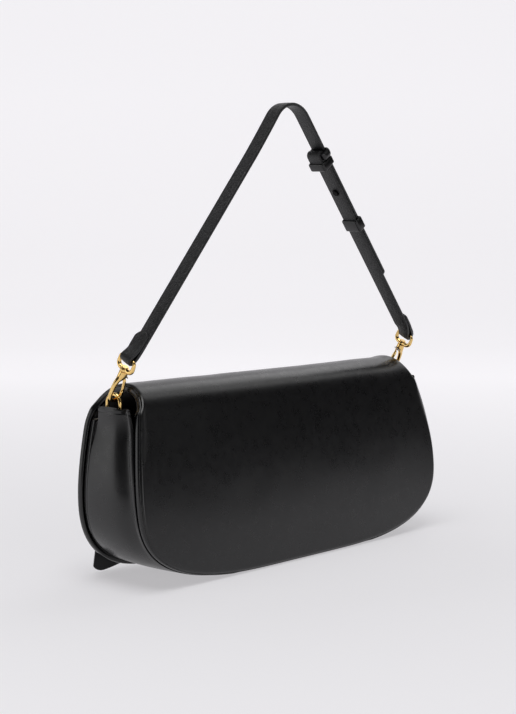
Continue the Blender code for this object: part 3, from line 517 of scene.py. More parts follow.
def half_width(z: np.ndarray, foot: float, corner: float, power: float) -> np.ndarray:
    """Return the bag's half width at heights.

    Args:
        z: the heights.
        foot: the height of the outline's lowest line.
        corner: half the length of that line.
        power: how square the lower corners are; two makes them parts of an ellipse.

    Returns:
        Half widths.
    """
    z = np.asarray(z, dtype=float)
    rise = climb(z, SIZES.shoulder, SIZES.top - SIZES.shoulder)
    high = SIZES.shoulder_half - (SIZES.shoulder_half - SIZES.top_half) * rise ** SIZES.roll_curve
    rise = climb(z, SIZES.widest, SIZES.shoulder - SIZES.widest)
    middle = SIZES.half_width - (SIZES.half_width - SIZES.shoulder_half) * rise ** SIZES.side_curve
    drop = np.clip((SIZES.widest - z) / (SIZES.widest - foot), 0.0, 1.0)
    low = corner + (SIZES.half_width - corner) * (1 - drop ** power) ** (1 / power)
    return np.where(z >= SIZES.shoulder, high, np.where(z >= SIZES.widest, middle, low))


def corner_steps(foot: float, count: int = 40) -> np.ndarray:
    """Return heights from a foot to the widest place, closest together at the foot."""
    share = np.linspace(0.0, 1.0, count + 1)[:-1]
    return foot + (SIZES.widest - foot) * share ** 2.2


@dataclass
class WallForm:
    """A wall as a side view with half widths; places are x, run from its first foot, depth."""

    places: np.ndarray
    inward: np.ndarray
    halves: np.ndarray
    run: np.ndarray = field(init=False)

    def __post_init__(self) -> None:
        """Work out the distance along the side view."""
        self.run = reach_along(self.places)

    def at(self, x: np.ndarray, run: np.ndarray, depth: np.ndarray) -> np.ndarray:
        """Return places in space for places on the flat wall at a depth inwards."""
        y, z = (np.interp(run, self.run, column) for column in self.places.T)
        ny, nz = (np.interp(run, self.run, column) for column in self.inward.T)
        return np.stack([x + 0 * y, y + ny * depth, z + nz * depth], axis=-1)

    def outline(self, count: int = 520) -> np.ndarray:
        """Return the flat wall's outline, once round, in evenly spaced places."""
        right = np.stack([self.halves, self.run], axis=-1)
        left = right[::-1] * np.array([-1.0, 1.0])
        loop = np.concatenate([right, left, right[:1]])
        keep = np.concatenate([[True], np.linalg.norm(np.diff(loop, axis=0), axis=1) > 1e-7])
        loop = loop[keep]
        reach = reach_along(loop)
        even = np.linspace(0.0, reach[-1], count + 1)[:-1]
        return np.stack([np.interp(even, reach, column) for column in loop.T], axis=-1)

    def edge_distance(self, x: np.ndarray, run: np.ndarray, batch: int = 4000) -> np.ndarray:
        """Return the distance from the outline for places on the flat wall."""
        loop = self.outline()
        span = np.roll(loop, -1, axis=0) - loop
        squared = (span ** 2).sum(axis=1)
        flat = np.stack([np.ravel(x), np.ravel(run)], axis=-1)
        best = np.empty(len(flat))
        for index in range(0, len(flat), batch):
            away = flat[index:index + batch, None, :] - loop[None]
            share = np.clip((away * span[None]).sum(axis=2) / squared[None], 0.0, 1.0)
            gap = away - share[..., None] * span[None]
            best[index:index + batch] = np.sqrt((gap ** 2).sum(axis=2).min(axis=1))
        return best.reshape(np.shape(x))

    def sheet(self, inset: float) -> tuple[np.ndarray, np.ndarray, np.ndarray]:
        """Return a grid over the wall that is fine at its edges.

        Args:
            inset: how far the grid stays inside the outline.

        Returns:
            Places as x and run, and their distance from the grid's own edge.
        """
        near = np.array([0, 0.12, 0.3, 0.55, 0.85, 1.2, 1.6, 2.1, 2.8, 3.8, 5.2, 7.5, 11.0]) * MM
        end = self.run[-1] - inset
        keep = (self.run >= inset) & (self.run <= end)
        run = np.unique(np.concatenate([[inset], self.run[keep], [end],
                                        inset + near[:8], end - near[:8]]))
        half = np.interp(run, self.run, self.halves) - inset
        inner = half - near[-1] - 1.5 * MM
        side = half[:, None] - near[None]
        x = np.concatenate([-side, inner[:, None] * np.linspace(-1.0, 1.0, 45)[None],
                            side[:, ::-1]], axis=1)
        run = np.repeat(run[:, None], x.shape[1], axis=1)
        return x, run, self.edge_distance(x, run) - inset


def shell_form() -> WallForm:
    """Return the one wall that runs up the back, over the roll and down the flap."""
    slope = math.atan(2 * SIZES.lean / SIZES.leg_top)
    radius = (SIZES.top - SIZES.leg_top) / (1 - math.sin(slope))
    top_y = SIZES.foot_y - SIZES.lean - radius * math.cos(slope)
    front_radius = top_y - SIZES.flap_y
    low = np.concatenate([corner_steps(SIZES.wall_foot),
                          np.linspace(SIZES.widest, SIZES.leg_top, 24)])
    back = np.stack([SIZES.foot_y - SIZES.lean * (low / SIZES.leg_top) ** 2, low], axis=-1)
    tilt = np.arctan(2 * SIZES.lean * low / SIZES.leg_top ** 2)
    back_in = np.stack([-np.cos(tilt), -np.sin(tilt)], axis=-1)
    turn = np.linspace(slope, math.pi / 2, 22)[1:]
    roll = np.stack([top_y + radius * np.cos(turn), SIZES.top - radius + radius * np.sin(turn)],
                    axis=-1)
    roll_in = -np.stack([np.cos(turn), np.sin(turn)], axis=-1)
    turn = np.linspace(math.pi / 2, math.pi, 24)[1:]
    front = np.stack([top_y + front_radius * np.cos(turn),
                      SIZES.top - front_radius + front_radius * np.sin(turn)], axis=-1)
    front_in = -np.stack([np.cos(turn), np.sin(turn)], axis=-1)
    drop = np.concatenate([np.linspace(SIZES.top - front_radius, SIZES.widest, 16)[1:-1],
                           corner_steps(SIZES.flap_foot)[::-1]])
    flap = np.stack([np.full(len(drop), SIZES.flap_y), drop], axis=-1)
    flap_in = np.tile([1.0, 0.0], (len(drop), 1))
    high = np.concatenate([roll[:, 1], front[:, 1]])
    halves = np.concatenate([
        half_width(low, SIZES.wall_foot, SIZES.corner, SIZES.corner_power),
        half_width(high, SIZES.flap_foot, SIZES.flap_corner, SIZES.flap_power),
        half_width(drop, SIZES.flap_foot, SIZES.flap_corner, SIZES.flap_power)])
    return WallForm(np.concatenate([back, roll, front, flap]),
                    np.concatenate([back_in, roll_in, front_in, flap_in]), halves)


def front_form() -> WallForm:
    """Return the flat front wall that the flap covers."""
    low = np.concatenate([corner_steps(SIZES.wall_foot),
                          np.linspace(SIZES.widest, SIZES.front_top, 18)])
    places = np.stack([np.full(len(low), SIZES.front_y), low], axis=-1)
    return WallForm(places, np.tile([1.0, 0.0], (len(low), 1)),
                    half_width(low, SIZES.wall_foot, SIZES.corner, SIZES.corner_power))


@dataclass(frozen=True)
class SheetSizes:
    """How the walls' sheets lie between the seams, and where the leather swells and hollows."""

    leather: float = 0.8 * MM
    cloth: float = 0.7 * MM
    leather_inset: float = 1.2 * MM
    cloth_inset: float = 1.6 * MM
    cloth_gap: float = 0.15 * MM
    cloth_wave: float = 0.12 * MM
    cloth_calm: float = 20 * MM
    cloth_radius: float = 1.0 * MM
    cloth_depth: float = 0.6 * MM
    seam_radius: float = 2.2 * MM
    seam_depth: float = 1.5 * MM
    puff_at: float = 0.100
    puff_reach: float = 0.016
    puff_radius: float = 3.6 * MM
    puff_depth: float = 0.7 * MM
    puff_ripple: float = 0.22 * MM
    puff_width: float = 6 * MM
    calm_width: float = 22 * MM
    hollow: float = 0.25 * MM
    broad_wave: float = 0.35 * MM
    short_wave: float = 0.12 * MM
    swell: float = 0.9 * MM
    swell_x: float = -0.138
    swell_reach: float = 0.006
    swell_edge: float = 3 * MM
    band_start: float = 1.55 * MM
    band_bulge: float = 1.4 * MM
    band_wall: float = 2.6 * MM
    front_radius: float = 1.6 * MM
    front_depth: float = 1.2 * MM
    front_cloth_radius: float = 0.8 * MM
    front_cloth_depth: float = 0.5 * MM
    front_band_start: float = 1.5 * MM
    front_band_bulge: float = 1.3 * MM


SHEET = SheetSizes()


def soft_noise(points: np.ndarray, size_mm: float, seed: float = 0.0) -> np.ndarray:
    """Return smooth noise from -1 to 1 at places, with features of a size."""
    flat = np.asarray(points, dtype=float).reshape(-1, 3) / (size_mm * MM) + seed
    values = np.array([noise.noise(Vector(spot)) for spot in flat])
    return values.reshape(np.shape(points)[:-1])


def rounded_drop(distance: np.ndarray, radius: float, depth: float) -> np.ndarray:
    """Return how far a face has rolled in at a distance from its edge."""
    share = np.clip(1 - distance / radius, 0.0, 1.0)
    return depth * (1 - np.sqrt(np.clip(1 - share ** 2, 0.0, 1.0)))


class Shell:
    """The back, the roll and the flap: one leather sheet, its edge band and its lining."""

    def __init__(self, finishes: Finishes) -> None:
        """Keep the finishes and the form."""
        self.finishes = finishes
        self.form = shell_form()

    def build(self) -> None:
        """Build the three pieces."""
        self.face()
        self.band()
        self.lining()

    def face(self) -> None:
        """Build the outer leather, which rolls in at the seam and has soft hollows."""
        x, run, gap = self.form.sheet(SHEET.leather_inset)
        flat = self.form.at(x, run, 0 * x)
        puff = hump(flat[..., 2], SHEET.puff_at, SHEET.puff_reach) * (flat[..., 1] > 0)
        depth = rounded_drop(gap, SHEET.seam_radius + SHEET.puff_radius * puff,
                             SHEET.seam_depth + SHEET.puff_depth * puff)
        ripple = SHEET.puff_ripple * puff * soft_noise(flat, 3.5, 5.5)
        depth = depth + ripple * (gap < SHEET.puff_width)
        calm = climb(gap, 0.0, SHEET.calm_width)
        depth = depth + calm * (SHEET.hollow + SHEET.broad_wave * soft_noise(flat, 60, 3.1)
                                + SHEET.short_wave * soft_noise(flat, 22, 7.7))
        swell = (hump(flat[..., 0], SHEET.swell_x, SHEET.swell_reach)
                 * hump(flat[..., 2], SIZES.top, SHEET.swell_reach))
        depth = depth - SHEET.swell * swell * climb(gap, 0.0, SHEET.swell_edge)
        item = sheet_mesh("shell_leather", self.form.at(x, run, depth)[:, ::-1], SHEET.leather)
        finish_piece(item, self.finishes.leather, "", ("back_panel", "flap_panel"))
        bend_over_roll(item)

    def band(self) -> None:
        """Build the band between the two seams, all the way round the edge."""
        rings = band_rings(self.form, SHEET.band_start, SIZES.thickness, SHEET.band_bulge)
        item = closed_sweep("shell_edge_band", rings, loop=True)
        finish_piece(item, self.finishes.edge, "", ("back_edge_band", "flap_edge_band"))
        bend_over_roll(item)

    def lining(self) -> None:
        """Build the lining on the inner side."""
        x, run, gap = self.form.sheet(SHEET.cloth_inset)
        depth = SIZES.thickness - rounded_drop(gap, SHEET.cloth_radius, SHEET.cloth_depth)
        wave = SHEET.cloth_wave * soft_noise(self.form.at(x, run, depth), 30, 1.3)
        depth = depth + climb(gap, 0.0, SHEET.cloth_calm) * wave - SHEET.cloth_gap
        item = sheet_mesh("shell_lining", self.form.at(x, run, depth), SHEET.cloth)
        finish_piece(item, self.finishes.lining, "", ("back_lining", "flap_lining"))
        bend_over_roll(item)


def band_rings(form: WallForm, start: float, end: float, bulge: float) -> np.ndarray:
    """Return the rings of an edge band with a soft outer face.

    Args:
        form: the wall.
        start: depth of the band's outer seam.
        end: depth of its inner seam.
        bulge: how far the middle stands out from the seams.

    Returns:
        Rings round the outline.
    """
    loop = form.outline()
    along = unit(np.roll(loop, -1, axis=0) - np.roll(loop, 1, axis=0))
    inner = np.stack([-along[:, 1], along[:, 0]], axis=-1)
    turn = np.linspace(0.0, math.pi, 15)
    depths = start + (end - start) * (1 - np.cos(turn)) / 2
    insets = bulge * (1 - np.sin(turn) ** 0.5)
    depths = np.concatenate([depths, [end, (start + end) / 2, start]])
    insets = np.concatenate([insets, np.full(3, SHEET.band_wall)])
    rings = []
    for depth, inset in zip(depths, insets):
        spot = loop + inner * inset
        rings.append(form.at(spot[:, 0], spot[:, 1], np.full(len(spot), depth)))
    return np.stack(rings, axis=1)


class FrontWall:
    """The front wall under the flap."""

    def __init__(self, finishes: Finishes) -> None:
        """Keep the finishes and the form."""
        self.finishes = finishes
        self.form = front_form()

    def build(self) -> None:
        """Build the face, the band and the lining."""
        x, run, gap = self.form.sheet(SHEET.leather_inset)
        depth = rounded_drop(gap, SHEET.front_radius, SHEET.front_depth)
        item = sheet_mesh("front_leather", self.form.at(x, run, depth)[:, ::-1], SHEET.leather)
        finish_piece(item, self.finishes.leather, "body", ("front_panel",))
        rings = band_rings(self.form, SHEET.front_band_start, SIZES.front_thickness,
                           SHEET.front_band_bulge)
        item = closed_sweep("front_band", rings, loop=True)
        finish_piece(item, self.finishes.edge, "body", ("front_edge_band",))
        x, run, gap = self.form.sheet(SHEET.cloth_inset)
        drop = rounded_drop(gap, SHEET.front_cloth_radius, SHEET.front_cloth_depth)
        depth = SIZES.front_thickness - drop - SHEET.cloth_gap
        item = sheet_mesh("front_cloth", self.form.at(x, run, depth), SHEET.cloth)
        finish_piece(item, self.finishes.lining, "body", ("front_lining",))


# Gusset


@dataclass(frozen=True)
class GussetSizes:
    """How the strip lies between the walls, and where it bellies, folds and is hemmed."""

    leather: float = 1.2 * MM
    cloth: float = 0.8 * MM
    cloth_inset: float = 1.7 * MM
    cloth_top: float = 0.0875
    front_y: float = -23.0 * MM
    back_wall: float = 6.5 * MM
    draw: float = 5.5 * MM
    draw_start: float = 84 * MM
    draw_reach: float = 37 * MM
    belly: float = 0.9 * MM
    belly_start: float = 2 * MM
    belly_reach: float = 26 * MM
    low_belly: float = 1.4 * MM
    low_belly_at: float = 16 * MM
    low_belly_reach: float = 18 * MM
    fold: float = 2.9 * MM
    fold_start: float = 18 * MM
    fold_reach: float = 50 * MM
    fold_at: float = 0.93
    fold_drift: float = 0.10
    fold_before: float = 0.20
    fold_after: float = 0.055
    ridge: float = 0.5 * MM
    ridge_start: float = 38 * MM
    ridge_climb: float = 62 * MM
    ridge_at: float = 0.965
    ridge_reach: float = 0.02
    hem: float = 3.0 * MM
    groove: float = 0.45 * MM


GUSSET = GussetSizes()


def inner_back(z: np.ndarray) -> np.ndarray:
    """Return the back wall's inner face at heights."""
    z = np.minimum(z, SIZES.leg_top)
    slope = np.arctan(2 * SIZES.lean * z / SIZES.leg_top ** 2)
    return (SIZES.foot_y - SIZES.lean * (z / SIZES.leg_top) ** 2
            - GUSSET.back_wall / np.cos(slope))


def gusset_run(inset: float, count: int = 60) -> np.ndarray:
    """Return the gusset's edge, x and z, from the left top round the bottom to the right top."""
    low = corner_steps(0.0, count)
    high = np.concatenate([np.linspace(SIZES.widest, SIZES.gusset_top - 5 * MM, 42),
                           SIZES.gusset_top - np.linspace(4.6, 0.0, 16) * MM])
    z = np.concatenate([low, high])
    flare = np.clip(z - SIZES.flare_start, 0, None) / (SIZES.gusset_top - SIZES.flare_start)
    x = half_width(z, 0.0, SIZES.corner, SIZES.corner_power) + SIZES.gusset_flare * flare ** 2
    right = np.stack([x, z], axis=-1)
    along = unit(np.gradient(np.concatenate([[[0.0, 0.0]], right]), axis=0)[1:])
    back = inset + np.minimum(SIZES.gusset_setback, z)
    right = right + np.stack([-along[:, 1], along[:, 0]], axis=-1) * back[:, None]
    flat = np.linspace(-right[0, 0], right[0, 0], 9)[1:-1]
    bottom = np.stack([flat, np.full(7, right[0, 1])], axis=-1)
    return np.concatenate([right[::-1] * np.array([-1.0, 1.0]), bottom, right])


class Gusset:
    """The strip round the sides and the bottom, and its lining."""

    def __init__(self, finishes: Finishes) -> None:
        """Keep the finishes."""
        self.finishes = finishes

    def surface(self, inset: float) -> np.ndarray:
        """Return a grid of places over the soft strip, rows along it, from front to back."""
        across = np.linspace(0.0, 1.0, 61)[None]
        edge = gusset_run(inset)
        along = unit(np.gradient(edge, axis=0))
        height = edge[:, 1:]
        drawn = climb(height, GUSSET.draw_start, GUSSET.draw_reach)
        front = GUSSET.front_y + GUSSET.draw * eased(drawn)
        y = front + (inner_back(height) - front) * across

        low = GUSSET.low_belly * hump(height, GUSSET.low_belly_at, GUSSET.low_belly_reach)
        lift = ((GUSSET.belly + low) * np.sin(math.pi * across) ** 0.8
                * climb(height, GUSSET.belly_start, GUSSET.belly_reach))
        high = climb(height, GUSSET.fold_start, GUSSET.fold_reach)
        rise = climb(height, GUSSET.ridge_start, GUSSET.ridge_climb)
        away = across - GUSSET.fold_at + GUSSET.fold_drift * rise
        reach = np.where(away < 0, GUSSET.fold_before, GUSSET.fold_after)
        lift -= GUSSET.fold * hump(away, 0.0, reach) * high
        lift += GUSSET.ridge * hump(across, GUSSET.ridge_at, GUSSET.ridge_reach) * rise
        lift -= GUSSET.groove * hump(SIZES.gusset_top - height, GUSSET.hem, GUSSET.groove)
        return np.stack([edge[:, :1] + along[:, 1:] * lift, y, height - along[:, :1] * lift],
                        axis=-1)

    def build(self) -> None:
        """Build the strip and its lining."""
        item = sheet_mesh("gusset_leather", self.surface(0.0)[:, ::-1], GUSSET.leather)
        finish_piece(item, self.finishes.leather, "body", ("gusset",))
        inner = self.surface(GUSSET.cloth_inset)
        keep = inner[:, 0, 2] <= GUSSET.cloth_top
        item = sheet_mesh("gusset_cloth", inner[keep], GUSSET.cloth)
        finish_piece(item, self.finishes.lining, "body", ("gusset_lining",))


# Strap


@dataclass(frozen=True)
class StrapSizes:
    """The strap's sizes, the same as the solids have, and the finer ones of its edges."""

    span: float = 0.150581
    slope: float = math.radians(39.0)
    hook_lean: float = math.radians(27.0)
    lean: float = math.radians(1.4)
    lean_change: float = 0.008
    apex: float = 0.0195
    eye_bar: float = 0.0360
    ring_y: float = -0.008
    ring_z: float = 0.1238
    end_width: float = 0.0100
    end_flare: float = 0.11
    width: float = 0.012
    thickness: float = 0.0024
    half_gap: float = 0.15 * MM
    wire_gap: float = 1.3 * MM
    turn_back: float = 0.021
    close_up: float = 0.008
    cross_start: float = -0.060
    cross_length: float = 0.086
    frame_from_top: float = 0.050
    frame_wire: float = 1.1 * MM
    frame_flat: float = 2.8
    frame_sag: float = 1.3 * MM
    frame_gap: float = 1.4 * MM
    frame_corner: float = 1.8 * MM
    keeper_side: float = 0.35 * MM
    keeper_gap: float = 0.25 * MM
    keeper_wall: float = 1.2 * MM
    keeper_corner: float = 0.6 * MM
    fold: float = 0.012
    tail_from_top: float = 0.171
    edge: float = 0.7 * MM
    crease: float = 0.14 * MM
    crown: float = 0.12 * MM

    @property
    def near(self) -> float:
        """Return how far each of two leathers lies from the plane between them."""
        return self.thickness / 2 + self.half_gap

    @property
    def fold_radius(self) -> float:
        """Return the radius of the leather's middle where it turns round a wire."""
        return self.wire_gap + self.thickness / 2


STRAP = StrapSizes()


class StrapRun:
    """Places on the strap by distance from its top, offset outwards and place across it."""

    def __init__(self) -> None:
        """Work out the run."""
        sine, cosine = math.sin(STRAP.slope), math.cos(STRAP.slope)
        self.top = STRAP.span / math.tan(STRAP.slope) - STRAP.apex * (1 / sine - 1)
        self.arc = STRAP.apex * (math.pi / 2 - STRAP.slope)
        self.length = self.arc + (STRAP.span - STRAP.apex * cosine) / sine

    def spine(self, along: float, offset: float = 0.0) -> np.ndarray:
        """Return a place on the strap's run, on its own flat."""
        side = -1.0 if along >= 0 else 1.0
        rest = abs(along) - self.arc
        turn = min(abs(along), self.arc) / STRAP.apex
        normal = np.array([side * math.sin(turn), math.cos(turn)])
        spot = np.array([0.0, self.top - STRAP.apex]) + normal * STRAP.apex
        if rest > 0:
            spot = spot + np.array([side * normal[1], -side * normal[0]]) * rest
        return spot + normal * offset

    def down(self, along: float) -> np.ndarray:
        """Return the direction away from the top."""
        step = 1e-4 if along >= 0 else -1e-4
        way = self.spine(along + step) - self.spine(along)
        return way / np.linalg.norm(way)

    def lay(self, spot: Sequence[float], across: float) -> np.ndarray:
        """Return the place in space for a place on the strap's own flat."""
        begin, end = STRAP.hook_lean, STRAP.lean
        rate = (end - begin) / STRAP.lean_change
        lean = begin + rate * min(max(spot[1], 0.0), STRAP.lean_change)
        low = STRAP.eye_bar + min(spot[1], 0.0)
        high = max(spot[1] - STRAP.lean_change, 0.0)
        y = (STRAP.ring_y + math.sin(begin) * low + (math.cos(begin) - math.cos(lean)) / rate
             + math.sin(end) * high)
        z = (STRAP.ring_z + math.cos(begin) * low + (math.sin(lean) - math.sin(begin)) / rate
             + math.cos(end) * high)
        return np.array([spot[0], y + across * math.cos(lean), z - across * math.sin(lean)])

    def out(self, along: float) -> np.ndarray:
        """Return the direction square to the strap, outwards."""
        return self.spine(along, 1.0) - self.spine(along)

    def band(self, path: list[np.ndarray], end_rounded: bool) -> np.ndarray:
        """Return the rings of a strip along a path, with rounded and creased edges.

        Args:
            path: places on the strap's own flat, from a rounded tip.
            end_rounded: whether the path's end is a rounded tip as well.

        Returns:
            Rings along the path.
        """
        spots = np.array(path)
        ways = unit(np.gradient(spots, axis=0))
        normals = np.stack([-ways[:, 1], ways[:, 0]], axis=-1)
        reach = reach_along(spots)
        rings = []
        for spot, normal, start in zip(spots, normals, reach):
            wide = min(tip_half(start), STRAP.end_width / 2 + max(spot[1], 0.0) * STRAP.end_flare)
            if end_rounded:
                wide = min(wide, tip_half(reach[-1] - start))
            rings.append([self.lay(spot + normal * depth, across)
                          for across, depth in strip_section(wide, STRAP.thickness / 2)])
        return np.array(rings)


def strip_section(wide: float, thick: float) -> list[tuple[float, float]]:
    """Return the section of a leather strip: faces with a crease near each rounded edge."""
    crease = wide - 1.35 * MM if wide > 2.4 * MM else wide * 0.7
    inner = max(wide - 2.0 * MM, 0.2 * wide)
    edge = [(wide - STRAP.edge * 0.35, thick - STRAP.edge * 0.25), (wide - STRAP.edge, thick),
            (crease, thick - STRAP.crease)]
    middle = [(inner * mark, thick + STRAP.crown * (1 - mark * mark))
              for mark in (1.0, 0.8, 0.55, 0.3, 0.0, -0.3, -0.55, -0.8, -1.0)]
    face = edge + middle + [(-across, depth) for across, depth in reversed(edge)]
    half = face + [(-wide, thick * 0.35), (-wide, -thick * 0.35)]
    return half + [(-across, -depth) for across, depth in half]


def tip_half(reach: float) -> float:
    """Return a strip's half width at a distance from its rounded tip."""
    half = STRAP.width / 2
    if reach >= half:
        return half
    return min(half, math.sqrt(max(half ** 2 - (half - reach) ** 2, 0)) + 0.5 * MM)


class Strap:
    """The two strap leathers, the frame that joins them and their two keepers."""

    def __init__(self, finishes: Finishes) -> None:
        """Keep the finishes and the run."""
        self.finishes = finishes
        self.run = StrapRun()

    def build(self) -> None:
        """Build the strap's pieces."""
        for name, path, end_rounded in (("strap_long", self.long_path(), True),
                                        ("strap_short", self.short_path(), False)):
            item = closed_sweep(name + "_leather", self.run.band(path, end_rounded))
            finish_piece(item, self.finishes.strap, "strap", (name,))
        folded = STRAP.near + 2 * STRAP.fold_radius + STRAP.thickness / 2
        self.keeper("keeper_fixed", "fixed_keeper", "strap", 55.2 * MM, 6.3 * MM, -folded)
        self.keeper("keeper_sliding", "sliding_keeper", "keeper", 113.0 * MM, 10.0 * MM,
                    -2 * STRAP.near)
        self.frame_loop()

    def turned_end(self, side: int) -> list[np.ndarray]:
        """Return the path from a turned-back tip down and round the eye's bar."""
        run, near, far = self.run, STRAP.near, STRAP.fold_radius
        path = [run.spine(side * (run.length - STRAP.turn_back + back * MM), near)
                for back in (0.0, 0.3, 0.8, 1.5, 2.4, 3.6, 5.0, 7.0, 9.5)]
        neck = [(side * (run.length - STRAP.close_up * (1 - share)),
                 near + (far - near) * eased(share)) for share in (0.0, 0.25, 0.5, 0.75)]
        path += [run.spine(along, offset) for along, offset in neck]
        end = side * run.length
        bar, out, down = run.spine(end), run.out(end), run.down(end)
        path += [bar + (out * math.cos(turn) + down * math.sin(turn)) * far
                 for turn in np.linspace(0.0, math.pi, 17)]
        return path + [run.spine(along, -offset) for along, offset in reversed(neck)]

    def long_path(self) -> list[np.ndarray]:
        """Return the path of the long strap, from the near end over the top to its tip."""
        path = self.turned_end(-1)
        along = -self.run.length + 11 * MM
        while along < STRAP.tail_from_top - 7.5 * MM:
            share = min(max((along - STRAP.cross_start) / STRAP.cross_length, 0.0), 1.0)
            path.append(self.run.spine(along, STRAP.near * (2 * eased(share) - 1)))
            along += 1.5 * MM if abs(along) < self.run.arc + 3 * MM else 3 * MM
        return path + [self.run.spine(STRAP.tail_from_top - back * MM, STRAP.near)
                       for back in (7.0, 5.5, 4.2, 3.0, 2.0, 1.2, 0.6, 0.2, 0.0)]

    def short_path(self) -> list[np.ndarray]:
        """Return the path of the short strap, from the far end to its fold round the frame."""
        run, near, fold = self.run, STRAP.near, STRAP.fold_radius
        first, last = run.length - STRAP.close_up - 2 * MM, STRAP.frame_from_top
        path = self.turned_end(1)
        path += [run.spine(along, -near) for along in np.linspace(first, last, 59)]
        bar, out, down = run.spine(last, -near - fold), run.out(last), run.down(last)
        path += [bar + (out * math.cos(turn) - down * math.sin(turn)) * fold
                 for turn in np.linspace(0.0, math.pi, 15)[1:]]
        return path + [run.spine(along, -near - 2 * fold)
                       for along in np.linspace(last, last + STRAP.fold, 6)[1:]]

    def frame_loop(self) -> None:
        """Build the covered wire frame that joins the two straps, a rounded loop."""
        run = self.run
        bar = run.spine(STRAP.frame_from_top + STRAP.frame_sag, -STRAP.near - STRAP.fold_radius)
        spot = run.lay(bar, 0.0)
        out = unit(run.lay(bar + run.out(STRAP.frame_from_top) * MM, 0.0) - spot)
        wide = unit(run.lay(bar, 1 * MM) - spot)
        high = 2 * (STRAP.near + STRAP.fold_radius)
        half = STRAP.width / 2 + STRAP.frame_gap
        path = rounded_loop([(half, 0.0), (half, high), (-half, high), (-half, 0.0)],
                            [STRAP.frame_corner] * 4)
        points = spot + path[:, :1] * wide + path[:, 1:] * out
        item = tube("frame_loop", points, np.cross(wide, out), STRAP.frame_wire, loop=True,
                    flat=STRAP.frame_flat)
        finish_piece(item, self.finishes.edge, "strap", ("strap_frame",))

    def keeper(self, name: str, node: str, body: str, start: float, length: float,
               bottom: float) -> None:
        """Build a leather loop round the strap.

        Args:
            name: the piece's name.
            node: the solid that it stands for.
            body: what it rides on.
            start: the distance of its upper end from the strap's top.
            length: its length along the strap.
            bottom: the offset of the lowest leather that it holds.
        """
        run, soft = self.run, 0.95 * MM
        ends = np.array([0.0, 0.25 * MM, 0.6 * MM, soft])
        loops = []
        for outer, inner in keeper_section(STRAP.width / 2 + STRAP.keeper_side,
                                           bottom - STRAP.keeper_gap,
                                           2 * STRAP.near + STRAP.keeper_gap):
            loop = []
            for step in (*ends, length / 2, *(length - ends[::-1])):
                swell = 1.0 - 0.55 * max(1 - min(step, length - step) / soft, 0.0) ** 2
                spot = inner + (outer - inner) * swell
                loop.append(run.lay(run.spine(start + step, spot[1]), spot[0]))
            for step in (length - 0.1 * MM, 0.1 * MM):
                loop.append(run.lay(run.spine(start + step, inner[1]), inner[0]))
            loops.append(loop)
        item = closed_sweep(name, np.array(loops), loop=True)
        finish_piece(item, self.finishes.edge, body, (node,))


def keeper_section(half: float, low: float, high: float) -> list[tuple[np.ndarray, np.ndarray]]:
    """Return a keeper's outer and inner places round the strap, with soft corners."""
    wall, corner, pairs = STRAP.keeper_wall, STRAP.keeper_corner, []
    corners = ((half, low, -90.0), (half, high, 0.0), (-half, high, 90.0), (-half, low, 180.0))
    for x, y, start in corners:
        sign = np.array([math.copysign(1.0, x), 1.0 if y == high else -1.0])
        centre = np.array([x, y]) - sign * corner
        for step in range(7):
            turn = math.radians(start + 90.0 * step / 6)
            way = np.array([math.cos(turn), math.sin(turn)])
            pairs.append((centre + way * (corner + wall), centre + way * corner))
    return pairs


def tube(name: str, points: np.ndarray, normal: np.ndarray, radii: np.ndarray | float,
         sides: int = 18, loop: bool = False, flat: float = 1.0) -> Item:
    """Sweep a round wire along a path that lies square to a normal, with domed ends.

    Args:
        name: the piece's name.
        points: places along the middle of the wire.
        normal: the direction square to the path.
        radii: the wire's radius, one for all or one for each place.
        sides: points round the wire.
        loop: whether the path closes.
        flat: the wire's radius along the normal as a share of its radius across.

    Returns:
        The new object.
    """
    points = np.asarray(points, dtype=float)
    radii = np.broadcast_to(np.asarray(radii, dtype=float), (len(points),)).copy()
    normal = unit(np.asarray(normal, dtype=float))
    if loop:
        along = unit(np.roll(points, -1, axis=0) - np.roll(points, 1, axis=0))
    else:
        along = unit(np.gradient(points, axis=0))
        dome = np.radians([85.0, 62.0, 38.0, 18.0])
        first = points[0] - along[0] * (radii[0] * np.sin(dome))[:, None]
        last = points[-1] + along[-1] * (radii[-1] * np.sin(dome[::-1]))[:, None]
        points = np.concatenate([first, points, last])
        along = np.concatenate([np.tile(along[0], (4, 1)), along, np.tile(along[-1], (4, 1))])
        radii = np.concatenate([radii[0] * np.cos(dome), radii, radii[-1] * np.cos(dome[::-1])])
    across = unit(np.cross(along, normal))
    turn = np.linspace(0, 2 * math.pi, sides, endpoint=False)[None, :, None]
    rings = points[:, None] + radii[:, None, None] * (
        across[:, None] * np.cos(turn) + normal[None, None] * np.sin(turn) * flat)
    return closed_sweep(name, rings, loop=loop)


def turned_ring(name: str, origin: np.ndarray, axis: np.ndarray,
                profile: Sequence[tuple[float, float]]) -> Item:
    """Turn a closed profile of distances along an axis and radii into a ring round the axis."""
    first = unit(np.cross(axis, (0.31, 0.82, 0.47)))
    second = np.cross(axis, first)
    turn = np.linspace(0, 2 * math.pi, 28, endpoint=False)[:, None]
    circle = np.cos(turn) * first + np.sin(turn) * second
    rings = np.array([origin + axis * along + circle * radius for along, radius in profile])
    return closed_sweep(name, rings, loop=True)


def joined(pieces: Sequence[Item]) -> Item:
    """Join pieces into the first of them."""
    select_only(*pieces)
    bpy.ops.object.join()
    return bpy.context.object


